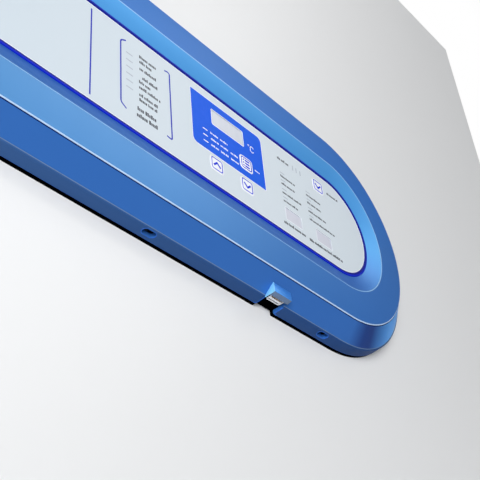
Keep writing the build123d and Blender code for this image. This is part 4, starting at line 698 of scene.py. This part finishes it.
def lip(name, path, thick, closed):
    """Round bead along a path on the underside of the flange, for the rim of an opening in it, coloured a
    lighter blue as a painted highlight.
    """
    curve = bpy.data.curves.new(name, "CURVE")
    curve.dimensions, curve.bevel_depth, curve.bevel_resolution = "3D", thick / 2 * MM, 3
    spline = curve.splines.new("POLY")
    spline.points.add(len(path) - 1)
    spline.use_cyclic_u = closed
    for point, (x, p) in zip(spline.points, path):
        down = FLANGE_TOP_R + (FLANGE_R - FLANGE_TOP_R) * (FLANGE_TOP - p) / (FLANGE_TOP - FLANGE_BACK)
        point.co = (*console_point(x, -down + thick * 0.3, p), 1)
    mesh = drawn(name, curve)
    mesh.shade_smooth()
    add_piece(name, mesh, "outer_door", "console_blue", finish["console_lip"])


for k, x in enumerate(SLOT_XS):
    lip(f"slot_lip_{k + 1}", slot_outline(x, 0.2), 0.6, True)
LIP_P0, LIP_P1 = -9.6, -17.7
for side, edge, reach, round_by, thick in (("right", NOTCH_X1 + 0.1, 2.9, 1.6, 0.9),
                                           ("left", NOTCH_X0 - 0.1, -2.4, 1.2, 0.6)):
    path = soften([(edge, LIP_P0), (edge, LIP_P1, round_by), (edge + reach, LIP_P1)], closed=False)
    lip(f"notch_lip_{side}", path, thick, False)

# Foam seal between the console and the door
SEAL_OUT = FLANGE_R - 0.1
DOOR_P = (FILM_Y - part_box("door_skin")[0].y) / MM
SEAL_IN = SEAL_OUT - 4
seal_section = [(SEAL_IN, FLANGE_BACK), (SEAL_OUT, FLANGE_BACK), (SEAL_OUT, DOOR_P), (SEAL_IN, DOOR_P)]
seal = add_shape("foam_seal", run_round(seal_section), "outer_door", "black_rubber", finish["black_rubber"])
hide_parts("console_gasket")
cut_out(seal, [notch(-14.0)])

# Service socket: bright rim round the mouth, pale tongue and gilt contacts
socket_low, socket_high = (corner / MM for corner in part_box("usb_socket"))
mouth_x, mouth_w = (socket_low.x + socket_high.x) / 2, socket_high.x - socket_low.x
mouth_y, mouth_h = (socket_low.y + socket_high.y) / 2, socket_high.y - socket_low.y
mouth_z = socket_low.z


def mouth_point(x, y):
    return Vector((mouth_x + x, mouth_y + y, mouth_z)) * MM


RIM_W, RIM_DOWN, TONGUE_T, TONGUE_DOWN = 0.7, 0.25, 1.5, 0.15
rim_x, rim_y = (mouth_w - RIM_W) / 2, (mouth_h - RIM_W) / 2
for name, x, y, w, h, down, slot, tone in (
        ("socket_rim_front", 0, -rim_y, mouth_w, RIM_W, RIM_DOWN, "zinc_steel", "socket_nickel"),
        ("socket_rim_back", 0, rim_y, mouth_w, RIM_W, RIM_DOWN, "zinc_steel", "socket_nickel"),
        ("socket_rim_left", -rim_x, 0, RIM_W, mouth_h, RIM_DOWN, "zinc_steel", "socket_nickel"),
        ("socket_rim_right", rim_x, 0, RIM_W, mouth_h, RIM_DOWN, "zinc_steel", "socket_nickel"),
        ("socket_tongue", 0, 0.3, mouth_w - 2.4, TONGUE_T, TONGUE_DOWN, "membrane", "socket_tongue")):
    block = prism(soften([(x + u, y + v, r) for u, v, r in rounded_box(w, h, 0.2)], 3), mouth_point,
                  Vector((0, 0, 1.6 * MM)))
    bmesh.ops.translate(block, verts=block.verts, vec=(0, 0, -down * MM))
    add_shape(name, block, "outer_door", slot, finish[tone])
CONTACT_PITCH, CONTACT_Y0, CONTACT_Y1 = 2.3, -0.75, -0.4
for k in range(4):
    left, right = (k - 1.5) * CONTACT_PITCH - 0.45, (k - 1.5) * CONTACT_PITCH + 0.45
    block = prism([(left, CONTACT_Y0), (right, CONTACT_Y0), (right, CONTACT_Y1), (left, CONTACT_Y1)],
                  mouth_point, Vector((0, 0, 1.4 * MM)))
    add_shape(f"socket_contact_{k + 1}", block, "outer_door", "zinc_steel", finish["contact_gilt"])

# Trim ring: royal blue, with a navy line along the membrane
NAVY_TO, NAVY_FACE = 1.1, 1.9
trim_section = soften([(PANEL_R + 0.05, -2.0), (45.1, -2.0), (45.1, 0.1), (44.6, 0.5, 0.2),
                       (PANEL_R + NAVY_FACE, 0.57), (PANEL_R + NAVY_TO, 0.6, 0.2), (PANEL_R + 0.05, 0.1)], 3)


def trim_tint(first, second):
    """0 on the royal blue face, 1 on the navy line."""
    return int(max(first[0], second[0]) < PANEL_R + NAVY_FACE + 0.1)


trim = add_shape("trim_ring", run_round(trim_section, trim_tint), "outer_door", "trim_blue",
                 finish["trim_blue"], finish["trim_navy"])
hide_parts("console_trim_ring")

# Pale edge of the membrane: a thin white bead painted as a highlight line.
film_highlight_bead = [(PANEL_R - 0.55, -0.4), (PANEL_R, -0.4), (PANEL_R, 0.08), (PANEL_R - 0.5, 0.12)]
add_shape("membrane_rim_highlight_paint", run_round(film_highlight_bead), "outer_door", "membrane", ink["white"])

# Print on the membrane: closed loops in the console's millimetres, nested ones are holes
INK_T = 0.05


def bar(x, z, w, h, r=None):
    """Upright rectangle, with round ends where no corner radius is given."""
    r = min(w, h) / 2 - 0.01 if r is None else r
    return [[(x + u, z + v) for u, v in soften(rounded_box(w, h, r), 4)]]


def rim(x, z, w, h, r, line):
    """Line of even width along the inside of an upright rectangle."""
    return bar(x, z, w, h, r) + bar(x, z, w - 2 * line, h - 2 * line, max(r - line, 0.05))


def stroke(points, line, steps=6):
    """Outline of a line of even width along softened points, mitred at its turns."""
    run = soften(points, steps, closed=False)
    sides = [[], []]
    for k, here in enumerate(run):
        before = (here - run[k - 1] if k else run[1] - here).normalized()
        after = (run[k + 1] - here if k < len(run) - 1 else here - run[k - 1]).normalized()
        along = (before + after).normalized()
        across = Vector((-along.y, along.x)) * (line / 2 / max(along.dot(before), 0.3))
        sides[0].append(here + across)
        sides[1].append(here - across)
    return [[tuple(point) for point in sides[0] + sides[1][::-1]]]


def words(x0, x1, z, height, seed):
    """Row of short plain bars of uneven width, grouped by wider gaps."""
    draw = Random(seed)
    marks, x, left = [], x0, draw.randint(3, 6)
    while x < x1 - 0.3 * height:
        w = height * draw.uniform(0.32, 0.62)
        tall = height * draw.choice((1, 1, 1, 1.35))
        marks += bar(x + w / 2, z + (tall - height) / 2, w, tall, 0.12 * height)
        left -= 1
        x += w + height * (0.16 if left else 0.55)
        left = left or draw.randint(4, 8)
    return marks


def print_piece(name, loops, body, slot, material, base=0.0, thick=INK_T):
    """Flat printed shapes as one thin piece that lies base millimetres over the membrane."""
    curve = bpy.data.curves.new(name, "CURVE")
    curve.dimensions, curve.fill_mode, curve.extrude = "2D", "BOTH", thick / 2
    for loop in loops:
        spline = curve.splines.new("POLY")
        spline.points.add(len(loop) - 1)
        spline.use_cyclic_u = True
        for point, (u, v) in zip(spline.points, loop):
            point.co = (u, v, 0, 1)
    mesh = drawn(name, curve)
    upright = Matrix.Rotation(pi / 2, 4, "X") @ Matrix.Scale(MM, 4)
    mesh.transform(Matrix.Translation(console_point(0, 0, base + thick / 2)) @ upright)
    add_piece(name, mesh, body, slot, material)


# Millimetres to one unit of the print's layout
FILM_UNIT = 1.173
FILM_RIGHT = film_high.x / MM


def film(x, z):
    """A place in the print's layout, which is measured from the film's right end and middle line."""
    return FILM_RIGHT + FILM_UNIT * x, FILM_UNIT * z


def film_bar(x0, x1, z0, z1, r=None):
    (left, low), (right, high) = film(x0, z0), film(x1, z1)
    return bar((left + right) / 2, (low + high) / 2, right - left, high - low, r)


def film_words(x0, x1, z, height, seed):
    return words(film(x0, 0)[0], film(x1, 0)[0], film(0, z)[1], height, seed)


KEYS = {"key_set": (85.0, -2.9), "key_up": (52.7, -23.6), "key_down": (83.6, -23.6),
        "key_silence": (174.0, 28.9)}
KEY_W, KEY_H, KEY_R, KEY_FACE = 11.8, 10.8, 2.0, 0.35
WINDOWS = {"main": (67.8, 20.2, 32.9, 13.9), "voltage": (135.3, -23.3, 18.5, 10.9),
           "ambient": (171.6, -23.6, 18.5, 10.9)}

FIELD_X0, FIELD_X1, FIELD_Z0, FIELD_Z1 = -168.3, -104.8, -12.9, 29.1
FIELD_R = 4.0


def field_outline(grow, sharp):
    """Outline of the blue field, grown all round. Two opposite corners have the sharp radius."""
    (left, low), (right, high) = film(FIELD_X0, FIELD_Z0), film(FIELD_X1, FIELD_Z1)
    corners = [(left - grow, low - grow, FIELD_R + grow), (right + grow, low - grow, sharp),
               (right + grow, high + grow, FIELD_R + grow), (left - grow, high + grow, sharp)]
    return [tuple(point) for point in soften(corners, 8)]


field = [field_outline(0, 0.6)]
field_holes = bar(*WINDOWS["main"], 0.6) + bar(*KEYS["key_set"], KEY_W + 0.6, KEY_H + 0.6, KEY_R)
print_piece("print_field", field + field_holes, "outer_door", "membrane", ink["field"])

LINE_W = 1.15
BRACKET_TOP = 25.0
lines = stroke([film(-244.5, -32.2), film(-244.5, 32.2)], LINE_W)
lines += stroke([film(-219.5, -24.6), (*film(-223.4, -22.0), 3.0),
                 (*film(-223.4, BRACKET_TOP), 3.0), film(-219.5, BRACKET_TOP + 2.2)], LINE_W)
lines += stroke([film(-189.7, -24.0), (*film(-185.7, -24.8), 1.5),
                 (*film(-185.7, BRACKET_TOP + 2), 1.5), film(-189.7, BRACKET_TOP + 1.2)], LINE_W)
print_piece("print_lines", lines, "outer_door", "membrane", ink["line"])

word_marks = []
for seed, (x0, x1, z, height) in enumerate((
        (-209.5, -196.5, 22.0, 2.0), (-209.5, -200.0, 18.0, 2.0), (-209.5, -196.0, 12.6, 2.0),
        (-207.5, -196.0, 6.4, 2.0), (-210.0, -201.5, 2.2, 2.0), (-210.0, -193.5, -2.0, 2.0),
        (-210.0, -196.5, -7.6, 2.0), (-210.0, -196.5, -11.4, 2.0),
        (-211.5, -197.0, -18.8, 2.5), (-212.0, -196.0, -23.6, 2.5),
        (-88.6, -77.6, 24.0, 2.0),
        (-87.5, -73.0, 9.6, 1.5), (-87.5, -74.5, 3.5, 1.5), (-87.5, -68.8, -3.8, 1.5),
        (-87.5, -73.0, -10.3, 1.5), (-61.4, -46.0, 9.2, 1.5), (-61.4, -46.5, 2.9, 1.5),
        (-61.4, -43.2, -4.1, 1.5), (-61.4, -34.7, -10.6, 1.5),
        (-36.2, -23.6, 24.5, 1.6), (-90.0, -68.9, -28.2, 1.9), (-64.9, -30.6, -28.6, 1.9))):
    word_marks += film_words(x0, x1, z, height, seed)
print_piece("print_words", word_marks, "outer_door", "membrane", ink["word"])

dash_marks = []
for z in (18.4, 13.2, 8.0, 2.8, -2.4, -7.6):
    dash_marks += film_bar(-219.5, -214.5, z - 0.35, z + 0.35)
for x in (-72.6, -69.0, -64.9):
    dash_marks += film_bar(x - 0.35, x + 0.35, 22.6, 26.8)
for x, rows in ((-87.5, (12.6, 6.5, -0.8, -7.3)), (-61.4, (12.2, 5.9, -1.1, -7.6))):
    for z in rows:
        dash_marks += film_bar(x, x + 4.5, z - 0.3, z + 0.3)
print_piece("print_dashes", dash_marks, "outer_door", "membrane", ink["dash"])

white_marks = []
for z, seed, count in ((2.4, 31, 2), (-2.2, 41, 3), (-6.9, 51, 3)):
    white_marks += film_bar(-159.5, -155.5, z - 0.4, z + 0.4)
    for word, (start, end) in enumerate(((-153.0, -146.2), (-144.7, -137.8), (-135.9, -129.0))[:count]):
        white_marks += film_words(start, end, z, 1.35, seed + word)
white_marks += film_words(-114.0, -109.8, -2.4, 1.1, 34)
# The degree sign and the C of the unit
sign_x, sign_z = film(-115.6, 13.6)
white_marks += rim(sign_x - 2.6, sign_z + 2.2, 1.6, 1.6, 0.79, 0.35)
white_marks += stroke([(sign_x + u, sign_z + v, *round_by) for u, v, *round_by in (
    (2.9, 1.6), (2.0, 2.6, 0.8), (-0.6, 2.6, 1.6), (-0.6, -2.6, 1.6), (2.0, -2.6, 0.8), (2.9, -1.6))], 0.7)
# Pale lines round the field and the keys
white_marks += [field_outline(0.55, 0.9)] + field
for x, z in KEYS.values():
    white_marks += rim(x, z, KEY_W + 1.9, KEY_H + 1.9, KEY_R + 0.9, 0.75)
print_piece("print_white", white_marks, "outer_door", "membrane", ink["white"], base=INK_T)

# Window rims and key faces
rims = []
for x, z, w, h in WINDOWS.values():
    rims += rim(x, z, w + 0.9, h + 0.9, 1.1, 0.5)
print_piece("window_rims", rims, "outer_door", "membrane", ink["white"], base=INK_T)

CHEVRON_W, CHEVRON_H, CHEVRON_LINE = 3.4, 1.6, 1.5
for name, (x, z) in KEYS.items():
    face = rim(x, z, KEY_W - 0.7, KEY_H - 0.7, KEY_R - 0.2, 0.75)
    if name == "key_set":
        for row in (-2.6, 0.0, 2.6):
            face += bar(x - 2.9, z + row, 1.3, 1.4) + bar(x + 0.9, z + row, 5.0, 1.4)
    else:
        tip = CHEVRON_H if name == "key_up" else -CHEVRON_H
        face += stroke([(x - CHEVRON_W, z - tip), (x, z + tip), (x + CHEVRON_W, z - tip)], CHEVRON_LINE)
    print_piece(name + "_mark", face, name, "key_film", ink["icon"], base=KEY_FACE, thick=0.04)


# Fittings outside the console
def turned(shape, profile, place, axis, steps=20):
    """Add a form turned from (radius, height) points about an axis at a place, all in millimetres."""
    along = Vector(axis).normalized()
    side = along.orthogonal().normalized()
    across = along.cross(side)
    rays = [side * cos(2 * pi * k / steps) + across * sin(2 * pi * k / steps) for k in range(steps)]
    loops = [[shape.verts.new((Vector(place) + along * height + ray * radius) * MM) for ray in rays]
             for radius, height in profile]
    for lower, upper in zip(loops, loops[1:]):
        for k in range(steps):
            after = (k + 1) % steps
            shape.faces.new((lower[k], lower[after], upper[after], upper[k]))
    shape.faces.new(loops[0][::-1])
    shape.faces.new(loops[-1])


def slab(shape, low, high, round_by):
    """Add a block with rounded edges between two corners, in millimetres."""
    corners = bmesh.ops.create_cube(shape, size=1.0)["verts"]
    middle, size = (Vector(low) + Vector(high)) / 2, Vector(high) - Vector(low)
    for corner in corners:
        corner.co = Vector(middle[k] + corner.co[k] * size[k] for k in range(3)) * MM
    edges = list(dict.fromkeys(edge for corner in corners for edge in corner.link_edges))
    bmesh.ops.bevel(shape, geom=edges, offset=round_by * MM, segments=2, affect="EDGES", profile=0.5)


def fitting(name, body, slot, tone, *forms):
    """One piece made of turned forms and slabs, each given as its maker and that maker's values."""
    shape = bmesh.new()
    for make, *values in forms:
        make(shape, *values)
    add_shape(name, shape, body, slot, finish[tone], crease=35)


BACK, FRONT, UPWARD = (0, 1, 0), (0, -1, 0), (0, 0, 1)
BACK_FACE, HANDLE_FACE, GRILLE_FACE, PORT_FACE = 469.5, -447, -438, 470

# Profiles of the turned forms: radius and height above the face that each sits on
PAN_HEAD = [(3.0, -0.3), (3.9, 0.0), (3.9, 0.7), (3.2, 1.8), (1.9, 2.2), (1.6, 0.9), (0.2, 0.8)]
RIVET = [(1.8, 0.8), (1.8, 1.4), (1.0, 1.8), (0.2, 1.9)]
SPACER_RING = [(18.5, 0), (18.5, 2.5), (16.5, 4.5), (5, 4.8)]
PORT_DOME = [(22, 13.8), (21, 15.4), (17, 16.2), (15, 15.0), (8, 15.4), (0.5, 15.6)]
CATCH = [(9, -0.3), (9, 1.2), (7.6, 2.6), (3, 2.8), (2.6, 1.4), (0.3, 1.3)]
HUB_CAP = [(25, -0.4), (25, 0.5), (22, 0.9), (13, 0.9), (12, 0.3), (9, 0.3)]
SHELL_SEAM = [(104, 272), (108.3, 273), (109.6, 276), (109.6, 280), (108.3, 283), (104, 284)]
CABLE_GLAND = [(11, -1), (11, 6), (8.5, 7), (8.5, 12), (7, 16), (3.5, 17), (3.0, 12)]

# Back: screws, spacer rings, port domes, inlet pins and the bare data plate
SCREW_PITCH, SCREW_COLUMNS, SCREW_ROWS = 225, (-599, 599), (135, 1953)
screw_places = [(x, z) for x in SCREW_COLUMNS for z in range(150, 1951, SCREW_PITCH)]
screw_places += [(x, z) for x in range(-450, 451, SCREW_PITCH) for z in SCREW_ROWS]
fitting("rear_screws", "root", "zinc_steel", "zinc_steel",
        *[(turned, PAN_HEAD, (x, BACK_FACE, z), BACK) for x, z in screw_places])
for number, (x, z) in enumerate(((-450, 520), (450, 520), (-450, 1850), (450, 1850)), 1):
    fitting(f"spacer_rings_{number}", "root", "black_plastic", "black_plastic",
            (turned, SPACER_RING, (x, BACK_FACE, z), BACK, 28))
fitting("port_domes", "root", "frame_plastic", "frame_plastic",
        *[(turned, PORT_DOME, (-520, PORT_FACE, z), BACK, 32) for z in (1400, 1500)])
fitting("inlet_pins", "root", "copper", "copper",
        *[(slab, (x - 2.2, PORT_FACE + 4, z - 1), (x + 2.2, PORT_FACE + 15, z + 1), 0.5)
          for x, z in ((-527, 207), (-513, 207), (-520, 213))])
PLATE_X0, PLATE_X1, PLATE_Z0, PLATE_Z1, PLATE_T = -392, -282, 182, 240, 0.9
RIVET_IN, LINE_X, LINE_H = 4, PLATE_X0 + 10, 2.2
fitting("rear_data_plate", "root", "aluminium", "aluminium",
        (slab, (PLATE_X0, BACK_FACE - 0.1, PLATE_Z0), (PLATE_X1, BACK_FACE + PLATE_T, PLATE_Z1), 0.4),
        *[(turned, RIVET, (x, BACK_FACE, z), BACK) for x in (PLATE_X0 + RIVET_IN, PLATE_X1 - RIVET_IN)
          for z in (PLATE_Z0 + RIVET_IN, PLATE_Z1 - RIVET_IN)])
fitting("rear_plate_lines", "root", "black_plastic", "black_plastic",
        *[(slab, (LINE_X, BACK_FACE + 0.8, z), (LINE_X + long, BACK_FACE + 1.0, z + LINE_H), 0.05)
          for z, long in ((230, 62), (222, 84), (214, 48), (206, 90), (198, 70), (190, 30))])

# Handle: plate screws and grip ribs
fitting("handle_screws", "outer_door", "zinc_steel", "zinc_steel",
        *[(turned, PAN_HEAD, (x, HANDLE_FACE, z), FRONT) for x, z in ((-566, 1388), (-592, 1090))])
GRIP_X0, GRIP_X1, RIB_Z0, RIB_H, RIB_PITCH = -552.7, -521.3, 1182, 4, 12
fitting("grip_ribs", "handle", "handle_plastic", "handle_plastic",
        *[(slab, (GRIP_X0, -497, z), (GRIP_X1, -483, z + RIB_H), 0.6)
          for z in range(RIB_Z0, RIB_Z0 + 9 * RIB_PITCH, RIB_PITCH)])

# Grille: quarter turn catches and a finger rail along its top
fitting("grille_catches", "grille", "zinc_steel", "zinc_steel",
        *[(turned, CATCH, (-594, GRILLE_FACE, z), FRONT, 28) for z in (146, 410)])
fitting("grille_finger_rail", "grille", "cabinet_paint", "cabinet_paint",
        (slab, (-560, GRILLE_FACE - 2.4, 419), (560, GRILLE_FACE + 0.4, 424), 1.1))

# Castors: hub caps, and the brake pedals of the front pair
CASTOR_XS = (("left", -540), ("right", 540))
for end, y, z in (("front", -276.0, 47.0), ("rear", 400.0, 44.0)):
    for side, x in CASTOR_XS:
        fitting(f"hub_caps_{end}_{side}", f"wheel_{end}_{side}", "handle_plastic", "handle_plastic",
                *[(turned, HUB_CAP, (x + out * 15, y, z), (out, 0, 0), 32) for out in (-1, 1)])
for side, x in CASTOR_XS:
    fitting(f"brake_pedal_{side}", f"castor_{side}", "black_plastic", "black_plastic",
            (slab, (x - 11, -346, 84), (x + 11, -322, 89), 1.2),
            (slab, (x - 14, -352, 78), (x + 14, -343, 90), 1.6))

# Machine compartment: compressor seams, terminal covers and cable glands
SHELL_Y = 270.5
for stage, x in (("first", -405.5), ("second", -95.5)):
    fitting(f"compressor_seam_{stage}", "root", "black_steel", "black_steel",
            (turned, SHELL_SEAM, (x, SHELL_Y, 0), UPWARD, 64))
    fitting(f"terminal_cover_{stage}", "root", "black_plastic", "black_plastic",
            (slab, (x - 32, 148, 232), (x + 32, 172, 300), 4),
            (slab, (x - 26, 145, 240), (x + 26, 150, 292), 2))
fitting("cable_glands", "root", "black_plastic", "black_plastic",
        *[(turned, CABLE_GLAND, (330, y, 230), (-1, 0, 0), 24) for y in (-90, -130, -170)])

# Floor and light
FLOOR_HALF = 30.0
FLOOR_DROP = 0.0005
floor_shape = bmesh.new()
bmesh.ops.create_grid(floor_shape, x_segments=8, y_segments=8, size=FLOOR_HALF)
floor = bpy.data.objects.new("floor", to_mesh("floor", floor_shape))
floor.location.z = -FLOOR_DROP
bpy.context.scene.collection.objects.link(floor)
floor_finish = Finish("pale_floor")
floor_haze = floor_finish.noise(1.5, 3)
floor_finish.set(base_color=floor_finish.blend(floor_haze, shade(232, 233, 234), shade(226, 227, 229)),
                 roughness=floor_haze * 0.1 + 0.55)
floor.data.materials.append(floor_finish.material)

# Studio room: white behind the object, dimmer in front of it
ROOM_BACK, ROOM_FRONT = 1.0, 0.15
world = bpy.data.worlds.new("studio")
bpy.context.scene.world = world
world.use_nodes = True
room = NodeTree(world.node_tree)
look = room.node("ShaderNodeTexCoord", output="Generated")
behind = room.node("ShaderNodeSeparateXYZ", inputs={0: look}, output="Y")
fade = room.node("ShaderNodeMapRange", {"interpolation_type": "SMOOTHSTEP"},
                 {"Value": behind, "From Min": 0.0, "From Max": 0.2, "To Min": ROOM_FRONT,
                  "To Max": ROOM_BACK}, "Result")
walls = room.tree.nodes["Background"].inputs
room.feed(walls["Color"], (1, 1, 1))
room.feed(walls["Strength"], fade)


def soft_box(name, place, aim, width, height, power, matt=True, gloss=True, spread=180):
    """Rectangular lamp at a place, turned towards its aim, that lights matt colour, gloss or both."""
    lamp = bpy.data.lights.new(name, "AREA")
    lamp.shape, lamp.size, lamp.size_y = "RECTANGLE", width, height
    lamp.energy, lamp.spread = power, radians(spread)
    holder = bpy.data.objects.new(name, lamp)
    bpy.context.scene.collection.objects.link(holder)
    holder.location = place
    holder.rotation_mode = "QUATERNION"
    holder.rotation_quaternion = (Vector(aim) - Vector(place)).to_track_quat("-Z", "Y")
    holder.visible_diffuse, holder.visible_glossy = matt, gloss


soft_box("key_left", (-1.7, -2.1, 0.8), (0, -0.45, 1.4), 1.2, 1.2, 25, gloss=False, spread=110)
soft_box("fill_right", (2.41, -0.72, 1.86), (0.28, -0.46, 1.42), 0.6, 0.6, 15, gloss=False)
soft_box("gloss_above", (0.75, -1.9, 2.85), (0.05, -0.45, 1.4), 1.6, 1.3, 20, matt=False)
soft_box("back_top", (-1.9, 1.5, 3.3), (0, 0.47, 1.1), 1.0, 1.0, 45)

bpy.context.scene.view_settings.view_transform = "Standard"
